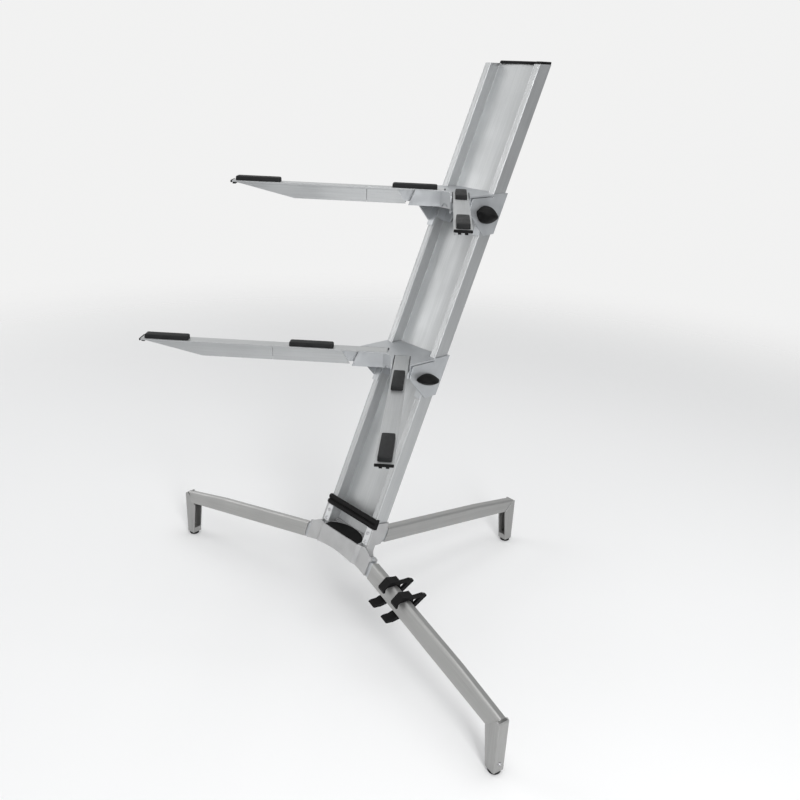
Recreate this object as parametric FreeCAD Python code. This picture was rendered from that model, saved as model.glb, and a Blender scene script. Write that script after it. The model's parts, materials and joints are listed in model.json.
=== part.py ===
import FreeCAD, Part
import math
import os

from FreeCAD import Placement, Rotation
from FreeCAD import Vector as V

# Folding keyboard stand: a leaning channel column on a three-armed hub with three
# folding legs, and two carriages on the column that each carry a pair of arms.
# Millimetres. X to the right, -Y towards the player, Z up, the floor at Z = 0.
# The origin is the centre of the footprint, on the floor.

# ---------------------------------------------------------------- column
LEAN = 23.6                    # backward lean of the column, degrees
DATUM_Y = -192.88              # where the front plane stands at DATUM_Z
DATUM_Z = 66.4
COLUMN_FOOT = 136.4            # along the column, from the datum, on the hub's top
COLUMN_TOP = 1100.0
COLUMN_WIDTH = 137.0
COLUMN_DEPTH = 31.0
FLANGE_WIDTH = 14.0            # hollow side boxes of the profile
FLANGE_WALL = 1.8
FLANGE_EDGE = 0.8
WEB_THICKNESS = 2.4
WEB_DEPTH = 24.6               # front of the web at the flanges
WEB_BOW = 3.0                  # the web bows forward by this at its middle
GROOVE_WIDTH = 1.0             # fine grooves along each flange front
GROOVE_DEPTH = 0.7
GROOVE_INSET = 2.6             # from both edges of the flange front

# ---------------------------------------------------------------- hub
HUB_FRONT = 13.5               # front wall before the flange fronts
HUB_WALL = 4.0
HUB_TOP = 136.4                # level of the hub's top face, along the column
HUB_ROOT = 54.6                # half width of the hub's middle behind the column
HUB_ARCH = 103.0               # underside at the middle, along the column
CREASE_IN = 15.5               # front wall turns back between these two, inside
CREASE_OUT = 8.5               # the column's side
SEAM_OUT = 23.5                # front leg seams beyond the column's side
SEAM_DEPTH = 4.0               # leg centre behind the flange fronts, at the seam
SEAM_T = 106.5                 # leg centre along the column, at the seam
REAR_SEAM_DEPTH = 99.0
REAR_SEAM_T = 143.5
ARM_MARGIN = 1.4               # hub arms stand proud of the legs by this
REAR_NECK = 66.0               # depth at which the rear arm reaches its own width
COLLAR_WALL = 3.4
COLLAR_GAP = 0.2
COLLAR_FRONT = 3.0             # collar sides reach this far before the flange fronts
COLLAR_TOP = 186.0
COLLAR_REAR_TOP = 193.0
SHOULDER_RISE = 34.0           # sweep from the arm's top up to the collar
STEP_DEPTH = 17.0              # behind this the collar's floor is higher
STEP_LOW = 145.5
STEP_SLOPE = 0.48              # and rises to the back
LIP_WALL = 4.0                 # arm's front wall, proud of its top
LIP_ROOT = 31.3                # its height above the leg's centre, at the collar
LIP_END = 23.5                 # and close to the seam
LIP_SETBACK = 5.5              # its corner short of the seam

# ---------------------------------------------------------------- legs
LEG_WIDTH = 20.0
LEG_HEIGHT = 31.0
LEG_WALL = 2.4
LEG_CORNER = 5.5
LEG_LIP = 3.0                  # inward lips along the open underside
LEG_TAPER = 118.0              # length of the lower outer end
LEG_END_DROP = 4.0             # the top line falls by this over the taper
KNEE_Z = 98.0
FRONT_FOOT_X = 485.0
FRONT_FOOT_Y = -208.88
REAR_FOOT_Y = 361.12
POST_TOP_LENGTH = 33.0         # foot post, along the leg's heading
POST_BOTTOM_LENGTH = 22.0
POST_WIDTH = 22.0
POST_WALL = 2.2
POST_EDGE = 2.5
POST_PLUG = 13.0               # solid end of the post that holds the rubber foot
KNEE_RADIUS = 6.0
FOOT_RADIUS = 10.8
FOOT_HEIGHT = 6.0
FOOT_EDGE = 1.5
FOOT_STEM_RADIUS = 3.0
FOOT_STEM_LENGTH = 9.0
FOOT_SCREW_RADIUS = 1.9
FOOT_SCREW_HEAD = 3.2
FOOT_SCREW_Z = 22.0
FOOT_SCREW_LENGTH = 9.0

# ---------------------------------------------------------------- leg hinges
PIN_RADIUS = 2.5
PIN_CLEARANCE = 0.05           # running fit in the leg's lug
PIN_INSET = 0.8
BARREL_RADIUS = 5.0
BARREL_RISE = 1.0              # pin above the leg's top line
EAR_WIDTH = 4.0                # ears before and behind the lug, from the arm's front
LUG_WIDTH = 6.0
LUG_GAP = 0.35
SEAM_GAP = 0.35
RIM_GAP = 8.0                  # the leg's rounded end shows its hinge block by this
RIM_BOW = 3.0
KNUCKLE_CLEARANCE = 0.7        # round the barrels
BLOCK_LENGTH = 38.0            # hinge block inside the leg
BLOCK_GAP = 0.05

# ---------------------------------------------------------------- carriages and arms
TIER_NAMES = ("lower", "upper")
TIER_HEIGHTS = (547.5, 845.0)  # top of the arms above the floor
ARM_REACH = (515.0, 440.0)     # arm tip with its end strip, from the crossing of the arms
ARM_SPREAD = 45.0              # each arm turns this far from straight ahead
ARM_APEX = 18.0                # crossing of the arms, before the flange fronts
ARM_WIDTH = 28.0
ARM_SKIN = 3.0
ARM_FLANGES = 22.0             # over the outside of the two flanges
ARM_FLANGE_WALL = 2.4
ARM_DEPTH = 28.5
ARM_TAPER = 120.0
ARM_TIP_CUT = 6.0              # flanges end short of the tip
TIP_CAP = 3.0                  # black end strip, beyond the tip
TIP_CAP_HEIGHT = 7.0
TIP_CAP_PROUD = 0.4
TIP_CAP_CORNER = 1.5
TIP_CAP_PLUG = 5.0
TIP_CAP_PLUG_DEPTH = 3.5
ARM_SLIT = 0.8                 # fine slit across the flanges
ARM_SLIT_FROM_TIP = 259.0
FLANGE_START = 119.0           # slanted inner end of the flanges, from the crossing
FLANGE_START_LOW = 103.0
PLATE = 3.0
SLOT_WIDTH = 32.0
SLOT_INNER = 28.0              # slot's closed end, from the crossing
SOCKET_END = 85.0              # open end of the socket at the top
SOCKET_LIP = 98.0              # and at the foot of its walls
SOCKET_WALL = 3.0
SOCKET_DEPTH = 30.0
SOCKET_FLOOR = 24.3
SOCKET_INNER_WALL = 6.0
SLIDE_FIT = 0.3
TONGUE_GAP = 3.0               # tongue short of the slot's closed end
ROOT_NECK_WIDTH = 17.0
ROOT_SHOULDER = 12.0           # wide part of the sliding block below the arm's face
ROOT_END = 92.0
ROOT_NOSE_END = 134.0          # block's nose inside the arm
WEB_NOSE = 58.0                # front of the middle web between the sockets
WEB_NOSE_HALF = 9.0
CHEEK = 2.7
CHEEK_GAP = 0.3
CHEEK_SLIT = 1.5               # slit below the plate that lets the cheek bend
CHEEK_OUTLINE = ((-57.0, -4.5), (-65.5, -28.0), (-23.0, -75.0), (4.0, -74.0))
PLATE_SIDE_FRONT = 63.5
PLATE_SIDE_REAR = 2.0
RELIEF_RADIUS = 3.0
RELIEF_Y = -5.5
RELIEF_Z = -3.0
SHOE = 3.0
SHOE_GAP = 0.4
REAR_LIP_WIDTH = 10.0
TROUGH_GAP = 0.6               # between the carriage's back and the web
TROUGH_LENGTH = 64.0
TROUGH_SIDE_GAP = 1.5
TROUGH_ARCH = 34.0

# ---------------------------------------------------------------- clamps
BOLT_RADIUS = 3.0
BOLT_SETBACK = 23.5            # bolt axis before the flange front at plate height
BOLT_DROP = 35.5
BOLT_CLEARANCE = 0.05
KNOB_RADIUS = 24.0
KNOB_THICKNESS = 21.0
KNOB_RIM = 5.0
KNOB_OUT = 3.0                 # lens centre beyond the cheek
KNOB_GAP = 0.5
KNOB_BOSS_RADIUS = 8.0
KNOB_BOLT_DEPTH = 14.0
KNOB_PROFILE = ((0.0, 1.0), (0.38, 0.88), (0.72, 0.52), (1.0, 0.0))    # outward, from rim to crown
KNOB_TURNS = (-16.0, 135.0)    # chord of each tier's knob, turned from straight back
NUT_FLATS = 10.0
NUT_HEIGHT = 6.0
BOLT_END = 2.0                 # bolt shows beyond the nut

# ---------------------------------------------------------------- pads
PAD_LENGTH = 86.0
PAD_WIDTH = 21.0
PAD_HEIGHT = 9.0
PAD_CORNER = 2.8
PAD_EDGE = 2.0
PAD_TIP_GAP = 6.0              # outer pad short of the arm's tip
INNER_PAD_START = (136.0, 44.0)
PLUG_WIDTH = 5.2
PLUG_LENGTH = 5.5              # shows below the arm's top plate, beyond the sliding block
PLUG_INSET = 7.0
PLUG_CLEARANCE = 0.1

# ---------------------------------------------------------------- base trim
COVER_FRONT_Y = -147.88        # half-moon cover: level, straight front edge
COVER_DEPTH = 34.5
COVER_SIDE_GAP = 3.0           # from the cover's ends to the flanges
COVER_END_DEPTH = 14.0
COVER_Z = 196.0
COVER_THICKNESS = 6.0
COVER_EDGE = 1.2
COVER_GAP = 0.2
RIM = 2.3                      # hub rim round the cover
BAR_BOTTOM = 175.0             # two-lobed bar across the collar, along the column
BAR_HEIGHT = 20.0
BAR_FRONT = 5.5
BAR_RETURN = 6.0
BAR_SIDE = 3.0
BAR_GAP = 0.1
BAR_EDGE = 2.5
BAR_VEE = 3.0
FIX_OVER = 1.0                 # fixing plates overhang the flange towards the channel
FIX_INSET = 0.2                # and stop short of its outer side
FIX_BOTTOM = 141.0
FIX_TOP = 174.6
FIX_THICKNESS = 3.0
FIX_EDGE = 0.6
SCREW_RADIUS = 2.3
SCREW_HEAD = 3.6
SCREW_HEAD_HEIGHT = 1.4
SCREW_LENGTH = 12.0
SCREW_TS = (147.0, 164.0)
CAP_HEIGHT = 6.5
CAP_EDGE = 2.0
CAP_BEVEL = 1.4
CAP_PLUG = 12.0
CAP_PLUG_GAP = 0.1

# ---------------------------------------------------------------- cable clips
CLIP_NAMES = ("inner", "outer")
CLIP_STATIONS = (60.0, 104.0)  # along the right leg, from its seam
CLIP_LENGTH = 18.0
CLIP_WALL = 3.0
CLIP_GAP = 0.1
CLIP_CROWN = 10.0              # above the leg's top
CLIP_SAG = 1.5
CLIP_REACH = 42.0              # behind the leg's middle
CLIP_TONGUE = 11.0             # tongue down the leg's near side
CLIP_HOOK = 34.0               # front hook before the leg's middle
CLIP_LOOP_OUT = 17.0           # loop centre beyond the leg's side
CLIP_LOOP_RISE = 0.5
CLIP_HOLE_RADIUS = 5.5
CLIP_MOUTH = 3.0

SIN = math.sin(math.radians(LEAN))
COS = math.cos(math.radians(LEAN))
TAN = SIN / COS
HALF = COLUMN_WIDTH / 2
CHANNEL_HALF = HALF - FLANGE_WIDTH
TROUGH_HALF = CHANNEL_HALF - TROUGH_SIDE_GAP
SEAM_X = HALF + SEAM_OUT
COLUMN_FRAME = Placement(V(0, DATUM_Y, DATUM_Z), Rotation(V(1, 0, 0), -LEAN))
UP_COLUMN = V(0, SIN, COS)
BACK = V(0, COS, -SIN)
X_AXIS = V(1, 0, 0)
Y_AXIS = V(0, 1, 0)
Z_AXIS = V(0, 0, 1)
BIG = 3000.0


# ---------------------------------------------------------------- helpers
def place(shape, placement):
    """A copy of a shape moved by a placement."""
    moved = shape.copy()
    moved.Placement = placement.multiply(moved.Placement)
    return moved


def on_column(x, depth, along):
    """Stand coordinates of a point given in the column's frame."""
    return COLUMN_FRAME.multVec(V(x, depth, along))


def mirror_x(shape):
    return shape.mirror(V(0, 0, 0), X_AXIS)


def both_sides(shape):
    return [shape, mirror_x(shape)]


def frame_of(origin, x_axis, z_hint):
    """Placement whose X runs along x_axis and whose Z is close to z_hint."""
    x = V(x_axis).normalize()
    y = z_hint.cross(x).normalize()
    return Placement(origin, Rotation(x, y, x.cross(y), "XYZ"))


def half_space(point, normal):
    """Everything on the side of a plane that its normal points to."""
    box = Part.makeBox(BIG, 2 * BIG, 2 * BIG, V(0, -BIG, -BIG))
    hint = Z_AXIS if abs(normal.z) < 0.9 else X_AXIS
    return place(box, frame_of(point, normal, hint))


def prism(points, direction):
    """Extrude a closed polygon of 3-D points."""
    return Part.Face(Part.makePolygon(list(points) + [points[0]])).extrude(direction)


def box_between(low, high):
    size = high - low
    return Part.makeBox(size.x, size.y, size.z, low)


def runs_along(edge, direction):
    """True for a straight edge parallel to a direction."""
    if len(edge.Vertexes) != 2 or edge.Curve.TypeId != "Part::GeomLine":
        return False
    span = edge.Vertexes[1].Point - edge.Vertexes[0].Point
    return span.normalize().cross(direction).Length < 1e-4


def round_edges(shape, radius, wanted):
    """Round the edges that a test picks."""
    return shape.makeFillet(radius, [edge for edge in shape.Edges if wanted(edge)])


def bevel_edges(shape, size, wanted):
    """Bevel the edges that a test picks."""
    return shape.makeChamfer(size, [edge for edge in shape.Edges if wanted(edge)])


def rod(radius, start, end):
    """Round bar from one point to another."""
    span = end - start
    return Part.makeCylinder(radius, span.Length, start, span)


# ---------------------------------------------------------------- column
def web_solid(start, end):
    """The bowed panel between the flanges."""
    half = CHANNEL_HALF + FLANGE_WALL / 2
    back = WEB_DEPTH + WEB_THICKNESS
    front_arc = Part.Arc(V(-half, WEB_DEPTH, start), V(0, WEB_DEPTH - WEB_BOW, start),
                         V(half, WEB_DEPTH, start)).toShape()
    back_arc = Part.Arc(V(half, back, start), V(0, back - WEB_BOW, start),
                        V(-half, back, start)).toShape()
    right = Part.makeLine(V(half, WEB_DEPTH, start), V(half, back, start))
    left = Part.makeLine(V(-half, back, start), V(-half, WEB_DEPTH, start))
    outline = Part.Wire([front_arc, right, back_arc, left])
    return Part.Face(outline).extrude(V(0, 0, end - start))


def flange_solid(start, end):
    """The right hollow side box with its fine front grooves."""
    box = box_between(V(CHANNEL_HALF, 0, start), V(HALF, COLUMN_DEPTH, end))
    box = bevel_edges(box, FLANGE_EDGE, lambda edge: runs_along(edge, Z_AXIS))
    grooves = [box_between(V(x - GROOVE_WIDTH / 2, -1, start), V(x + GROOVE_WIDTH / 2, GROOVE_DEPTH, end))
               for x in (CHANNEL_HALF + GROOVE_INSET, HALF - GROOVE_INSET)]
    inside = box_between(V(CHANNEL_HALF + FLANGE_WALL, FLANGE_WALL, start),
                         V(HALF - FLANGE_WALL, COLUMN_DEPTH - FLANGE_WALL, end))
    return box.cut(grooves + [inside])


def make_column():
    side = flange_solid(COLUMN_FOOT, COLUMN_TOP)
    body = side.fuse([mirror_x(side), web_solid(COLUMN_FOOT, COLUMN_TOP)])
    for along in SCREW_TS:
        body = body.cut(both_sides(screw_hole(along)))
    body = body.cut(foot_step(COLLAR_GAP))
    return place(body.removeSplitter(), COLUMN_FRAME)


def foot_step(gap):
    """What the column's foot leaves to the stepped floor of its collar."""
    depth = STEP_DEPTH + HUB_WALL - gap
    low = STEP_LOW + HUB_WALL + gap
    high = low + (BIG / 20 - depth) * STEP_SLOPE
    return prism([V(-HALF - 1, depth, 0), V(-HALF - 1, depth, low), V(-HALF - 1, BIG / 20, high),
                  V(-HALF - 1, BIG / 20, 0)], V(2 * HALF + 2, 0, 0))


def screw_x():
    return (CHANNEL_HALF - FIX_OVER + HALF - FIX_INSET) / 2


def screw_hole(along):
    """Hole for a fixing screw, right side, in the column's frame."""
    return rod(SCREW_RADIUS, V(screw_x(), -HUB_FRONT, along), V(screw_x(), SCREW_LENGTH, along))


def make_fixing_plates():
    """Strips over the flange fronts that hold the column in its collar."""
    plate = box_between(V(CHANNEL_HALF - FIX_OVER, -FIX_THICKNESS, FIX_BOTTOM),
                        V(HALF - FIX_INSET, 0, FIX_TOP))
    plate = bevel_edges(plate, FIX_EDGE, lambda edge: edge.BoundBox.YMax < -FIX_THICKNESS / 2)
    for along in SCREW_TS:
        plate = plate.cut(screw_hole(along))
    plate = place(plate, COLUMN_FRAME)
    return Part.makeCompound(both_sides(plate))


def make_plate_screws():
    """Two screws through each fixing plate into the flange."""
    screws = []
    for along in SCREW_TS:
        face = V(screw_x(), -FIX_THICKNESS, along)
        top = face - V(0, SCREW_HEAD_HEIGHT, 0)
        screw = rod(SCREW_RADIUS, top, V(screw_x(), SCREW_LENGTH - 2, along)).fuse(rod(SCREW_HEAD, top, face))
        screws += both_sides(place(screw.removeSplitter(), COLUMN_FRAME))
    return Part.makeCompound(screws)


def cap_block(low, high):
    """End trim with softened upper edges, in the column's frame."""
    cap = box_between(low, high)
    cap = bevel_edges(cap, CAP_EDGE, lambda edge: runs_along(edge, Z_AXIS))
    return bevel_edges(cap, CAP_BEVEL, lambda edge: edge.BoundBox.ZMin > high.z - 0.01)


def make_web_cap():
    half = CHANNEL_HALF - CAP_EDGE
    front = WEB_DEPTH - WEB_BOW - CAP_EDGE
    return place(cap_block(V(-half, front, COLUMN_TOP), V(half, COLUMN_DEPTH, COLUMN_TOP + CAP_HEIGHT)),
                 COLUMN_FRAME)


def make_flange_cap():
    """End trim that closes the right side box, with its plug."""
    cap = cap_block(V(CHANNEL_HALF, 0, COLUMN_TOP), V(HALF, COLUMN_DEPTH, COLUMN_TOP + CAP_HEIGHT))
    gap = FLANGE_WALL + CAP_PLUG_GAP
    plug = box_between(V(CHANNEL_HALF + gap, gap, COLUMN_TOP - CAP_PLUG),
                       V(HALF - gap, COLUMN_DEPTH - gap, COLUMN_TOP))
    return place(cap.fuse(plug).removeSplitter(), COLUMN_FRAME)


# ---------------------------------------------------------------- hub
def hinge_height():
    """Pin above the leg's centre, in the seam plane."""
    return LEG_HEIGHT / 2 + BARREL_RISE


def arm_half():
    return LEG_WIDTH / 2 + ARM_MARGIN


def hub_front_plan(wall):
    """Plan of the two front arms and the middle, shrunk by a wall."""
    front = -HUB_FRONT + wall
    arm_front = SEAM_DEPTH - arm_half() + wall
    arm_back = SEAM_DEPTH + arm_half() - wall
    back = COLUMN_DEPTH + COLLAR_WALL - wall
    end = SEAM_X - wall
    collar = HALF + COLLAR_WALL - wall
    crease = HALF - CREASE_IN - wall
    crease_end = HALF - CREASE_OUT - wall
    root = HUB_ROOT - wall
    right = [V(crease, front, 0), V(crease_end, arm_front, 0), V(end, arm_front, 0), V(end, arm_back, 0),
             V(collar, arm_back + 1, 0), V(root, back, 0)]
    left = [V(-point.x, point.y, 0) for point in reversed(right)]
    return right + left


def hub_front_body(wall):
    """The two front arms and the middle, under level tops and an arched bottom."""
    solid = prism(hub_front_plan(wall), V(0, 0, BIG / 2))
    low = SEAM_T - LEG_HEIGHT / 2 - ARM_MARGIN
    top = SEAM_T + LEG_HEIGHT / 2 + ARM_MARGIN - wall
    hub_top = HUB_TOP - wall
    step = HALF + COLLAR_WALL - wall
    end = SEAM_X + 1
    corners = [V(end, -BIG / 4, top), V(step + 4, -BIG / 4, top), V(step, -BIG / 4, hub_top),
               V(-step, -BIG / 4, hub_top), V(-step - 4, -BIG / 4, top), V(-end, -BIG / 4, top)]
    if wall == 0:
        bottom = Part.Arc(V(end, -BIG / 4, low), V(0, -BIG / 4, HUB_ARCH), V(-end, -BIG / 4, low)).toShape()
    else:
        low = -BIG / 4
        bottom = Part.makeLine(V(end, -BIG / 4, low), V(-end, -BIG / 4, low))
    lines = [Part.makeLine(corners[i], corners[i + 1]) for i in range(len(corners) - 1)]
    lines.append(Part.makeLine(V(-end, -BIG / 4, top), V(-end, -BIG / 4, low)))
    lines.append(Part.makeLine(V(end, -BIG / 4, low), V(end, -BIG / 4, top)))
    view = Part.Wire(Part.__sortEdges__(lines + [bottom]))
    return solid.common(Part.Face(view).extrude(V(0, BIG / 2, 0)))


def hub_rear_body(wall):
    """The rear arm, sweeping in from the collar to the rear leg."""
    half = arm_half() - wall
    root = HUB_ROOT - wall
    start = COLUMN_DEPTH + COLLAR_WALL - HUB_WALL
    end = REAR_SEAM_DEPTH - wall
    bend = V(half + (root - half) * 0.22, start + (REAR_NECK - start) * 0.5, 0)
    right = Part.Arc(V(root, start, 0), bend, V(half, REAR_NECK, 0)).toShape()
    left = Part.Arc(V(-half, REAR_NECK, 0), V(-bend.x, bend.y, 0), V(-root, start, 0)).toShape()
    plan = Part.Wire([
        Part.makeLine(V(-root, start, 0), V(root, start, 0)),
        right,
        Part.makeLine(V(half, REAR_NECK, 0), V(half, end, 0)),
        Part.makeLine(V(half, end, 0), V(-half, end, 0)),
        Part.makeLine(V(-half, end, 0), V(-half, REAR_NECK, 0)),
        left,
    ])
    low = REAR_SEAM_T - LEG_HEIGHT / 2 - ARM_MARGIN
    top = REAR_SEAM_T + LEG_HEIGHT / 2 + ARM_MARGIN - wall
    low_front = HUB_ARCH
    if wall:
        low = low_front = -BIG / 4
    side = prism([V(-BIG / 4, start, low_front), V(-BIG / 4, REAR_SEAM_DEPTH, low),
                  V(-BIG / 4, REAR_SEAM_DEPTH, top), V(-BIG / 4, start, top)], V(BIG / 2, 0, 0))
    return Part.Face(plan).extrude(V(0, 0, BIG / 2)).common(side)


def collar_body():
    """Walls round the sides and the back of the column's foot, sloping at the top."""
    outer = HALF + COLLAR_WALL
    back = COLUMN_DEPTH + COLLAR_WALL
    floor = HUB_TOP - HUB_WALL
    ring = box_between(V(-outer, -COLLAR_FRONT, floor), V(outer, back, BIG / 4))
    ring = round_edges(ring, 3.0, lambda edge: runs_along(edge, Z_AXIS) and edge.BoundBox.YMin > 0)
    top = prism([V(-outer, -COLLAR_FRONT, floor), V(-outer, -COLLAR_FRONT, COLLAR_TOP),
                 V(-outer, back, COLLAR_REAR_TOP), V(-outer, back, STEP_LOW + (back - STEP_DEPTH) * STEP_SLOPE),
                 V(-outer, STEP_DEPTH, STEP_LOW), V(-outer, STEP_DEPTH, floor)], V(2 * outer, 0, 0))
    inner = HALF + COLLAR_GAP
    pocket = box_between(V(-inner, -BIG / 4, HUB_TOP), V(inner, COLUMN_DEPTH + COLLAR_GAP, BIG / 4))
    pocket = pocket.cut(foot_step(0))
    window = box_between(V(-BIG / 4, -BIG / 4, BAR_BOTTOM - BAR_GAP),
                         V(BIG / 4, BAR_RETURN + COLLAR_GAP, BIG / 4))
    return ring.common(top).cut([pocket, window])


def throat(wall):
    """The hub's middle from its top up to the collar's raised floor, shrunk by a wall."""
    front = STEP_DEPTH + wall
    back = COLUMN_DEPTH + COLLAR_WALL - wall
    wide = HALF + COLLAR_WALL - wall
    narrow = HUB_ROOT - wall
    low = HUB_TOP - HUB_WALL - 1
    over = 1 if wall == 0 else 0
    plan = prism([V(-wide, front, low), V(wide, front, low), V(narrow, back, low), V(-narrow, back, low)],
                 V(0, 0, BIG / 20))
    top = STEP_LOW + over
    below = prism([V(-BIG / 4, STEP_DEPTH, low), V(-BIG / 4, STEP_DEPTH, top),
                   V(-BIG / 4, back, top + (back - STEP_DEPTH) * STEP_SLOPE), V(-BIG / 4, back, low)],
                  V(BIG / 2, 0, 0))
    return plan.common(below)


def shoulder():
    """Web that sweeps from the right arm's top up to the collar's side."""
    start = SEAM_T + LEG_HEIGHT / 2 - 2
    foot = V(SEAM_X - BARREL_RADIUS - 2, 0, start)
    inner = HALF + COLLAR_WALL - 1
    arc = Part.Arc(foot, V(inner + 4.5, 0, start + 9), V(inner, 0, start + SHOULDER_RISE)).toShape()
    wire = Part.Wire([arc, Part.makeLine(V(inner, 0, start + SHOULDER_RISE), V(inner, 0, start)),
                      Part.makeLine(V(inner, 0, start), foot)])
    return Part.Face(wire).extrude(V(0, SEAM_DEPTH + arm_half(), 0))


def front_lip():
    """Right arm's front wall where it stands above the arm's top, in the column's frame."""
    front = SEAM_DEPTH - arm_half()
    start = HALF - CREASE_OUT
    low = SEAM_T + LEG_HEIGHT / 2 - HUB_WALL
    return prism([V(start, front, low), V(start, front, HUB_TOP), V(HALF + COLLAR_WALL, front, SEAM_T + LIP_ROOT),
                  V(SEAM_X - LIP_SETBACK, front, SEAM_T + LIP_END), V(SEAM_X, front, SEAM_T + hinge_height()),
                  V(SEAM_X, front, low)], V(0, LIP_WALL, 0))


def half_moon(grow, low, high):
    """Upright half-moon block in stand coordinates, grown by a rim."""
    front = COVER_FRONT_Y - grow
    half = CHANNEL_HALF - COVER_SIDE_GAP + grow
    side = COVER_FRONT_Y + COVER_END_DEPTH
    back = COVER_FRONT_Y + COVER_DEPTH + grow
    arc = Part.Arc(V(half, side, low), V(0, back, low), V(-half, side, low)).toShape()
    wire = Part.Wire([Part.makeLine(V(-half, front, low), V(half, front, low)),
                      Part.makeLine(V(half, front, low), V(half, side, low)), arc,
                      Part.makeLine(V(-half, side, low), V(-half, front, low))])
    return Part.Face(wire).extrude(V(0, 0, high - low))


def make_hub_cover():
    """Half-moon lid set flush in the hub's level top."""
    lid = half_moon(-COVER_GAP, COVER_Z - COVER_THICKNESS, COVER_Z)
    return bevel_edges(lid, COVER_EDGE, lambda edge: edge.BoundBox.ZMin > COVER_Z - 0.01)


def seam_frames():
    """Right and rear seam frames: X outward, Z up the column, at the leg's centre."""
    right = frame_of(on_column(SEAM_X, SEAM_DEPTH, SEAM_T), X_AXIS, UP_COLUMN)
    rear = frame_of(on_column(0, REAR_SEAM_DEPTH, REAR_SEAM_T), BACK, UP_COLUMN)
    return right, rear


def lug_span():
    """Where the leg's lug starts and ends across the arm, from the leg's middle."""
    start = -arm_half() + EAR_WIDTH + LUG_GAP
    return start, start + LUG_WIDTH


def hinge_ears(frame):
    """Barrel ears and the hump under them on a hub arm's end."""
    half = arm_half()
    rear = lug_span()[1] + LUG_GAP + EAR_WIDTH
    height = hinge_height()
    barrel = rod(BARREL_RADIUS, V(0, -half, height), V(0, rear, height))
    hump = prism([V(0, -half, 0), V(0, -half, height + BARREL_RADIUS),
                  V(-7, -half, height + BARREL_RADIUS), V(-22, -half, LEG_HEIGHT / 2),
                  V(-22, -half, LEG_HEIGHT / 2 - 3), V(-HUB_WALL, -half, LEG_HEIGHT / 2 - 3),
                  V(-HUB_WALL, -half, 0)], V(0, half + rear, 0))
    return place(barrel.fuse(hump), frame)


def hinge_room(frame):
    """Room for the lug and the leg's edge round the pin, and the pin's bore."""
    reach = BARREL_RADIUS + KNUCKLE_CLEARANCE
    near, far = lug_span()
    near -= LUG_GAP
    far += LUG_GAP
    half = arm_half()
    height = hinge_height()
    slot = rod(reach, V(0, near, height), V(0, far, height))
    above = box_between(V(-reach, near, height), V(2 * reach, far, height + 2 * reach))
    front = box_between(V(0, near, -LEG_HEIGHT), V(2 * reach, far, height))
    bore = rod(PIN_RADIUS, V(0, -half, height), V(0, half, height))
    return place(slot.fuse([above, front, bore]), frame)


def make_hub():
    """Hollow three-armed casting with the collar for the column."""
    right, rear = seam_frames()
    shell = hub_front_body(0).fuse([hub_rear_body(0), throat(0), collar_body()] + both_sides(shoulder()))
    cavity = hub_front_body(HUB_WALL).fuse([hub_rear_body(HUB_WALL), throat(HUB_WALL)])
    wedge_low = COVER_Z - 3 * COVER_THICKNESS
    wedge = half_moon(RIM, wedge_low, COVER_Z)
    seat = half_moon(0, COVER_Z - COVER_THICKNESS, COVER_Z + 1)
    pocket = half_moon(-RIM, wedge_low - 1, COVER_Z - COVER_THICKNESS - RIM)
    front = on_column(0, -HUB_FRONT, HUB_TOP)
    body = place(shell.cut(cavity), COLUMN_FRAME)
    wedge = wedge.common(half_space(front, BACK))
    wedge = wedge.cut(pocket).common(half_space(on_column(0, 0, HUB_TOP - HUB_WALL), UP_COLUMN))
    body = body.fuse(wedge).cut(seat)
    body = body.cut(place(column_room(), COLUMN_FRAME))
    ears = hinge_ears(right)
    lip = place(front_lip(), COLUMN_FRAME)
    body = body.fuse(both_sides(ears) + both_sides(lip) + [hinge_ears(rear)])
    body = body.cut(both_sides(hinge_room(right)) + [hinge_room(rear)])
    return body.removeSplitter()


def column_room():
    """Space the column's web and flanges take up above the hub's top."""
    high = BIG / 8
    side = box_between(V(CHANNEL_HALF - COLLAR_GAP, -COLLAR_GAP, HUB_TOP), V(HALF, COLUMN_DEPTH, high))
    web = box_between(V(-HALF, WEB_DEPTH - WEB_BOW - COLLAR_GAP, HUB_TOP), V(HALF, COLUMN_DEPTH, high))
    return side.fuse([mirror_x(side), web]).cut(foot_step(0))


def make_hinge_pins():
    """One pin through the ears of each hub arm."""
    near = -arm_half() + PIN_INSET
    far = lug_span()[1] + LUG_GAP + EAR_WIDTH
    pins = []
    for frame in seam_frames():
        height = hinge_height()
        pins.append(place(rod(PIN_RADIUS, V(0, near, height), V(0, far, height)), frame))
    pins.append(mirror_x(pins[0]))
    return Part.makeCompound(pins)


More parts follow.
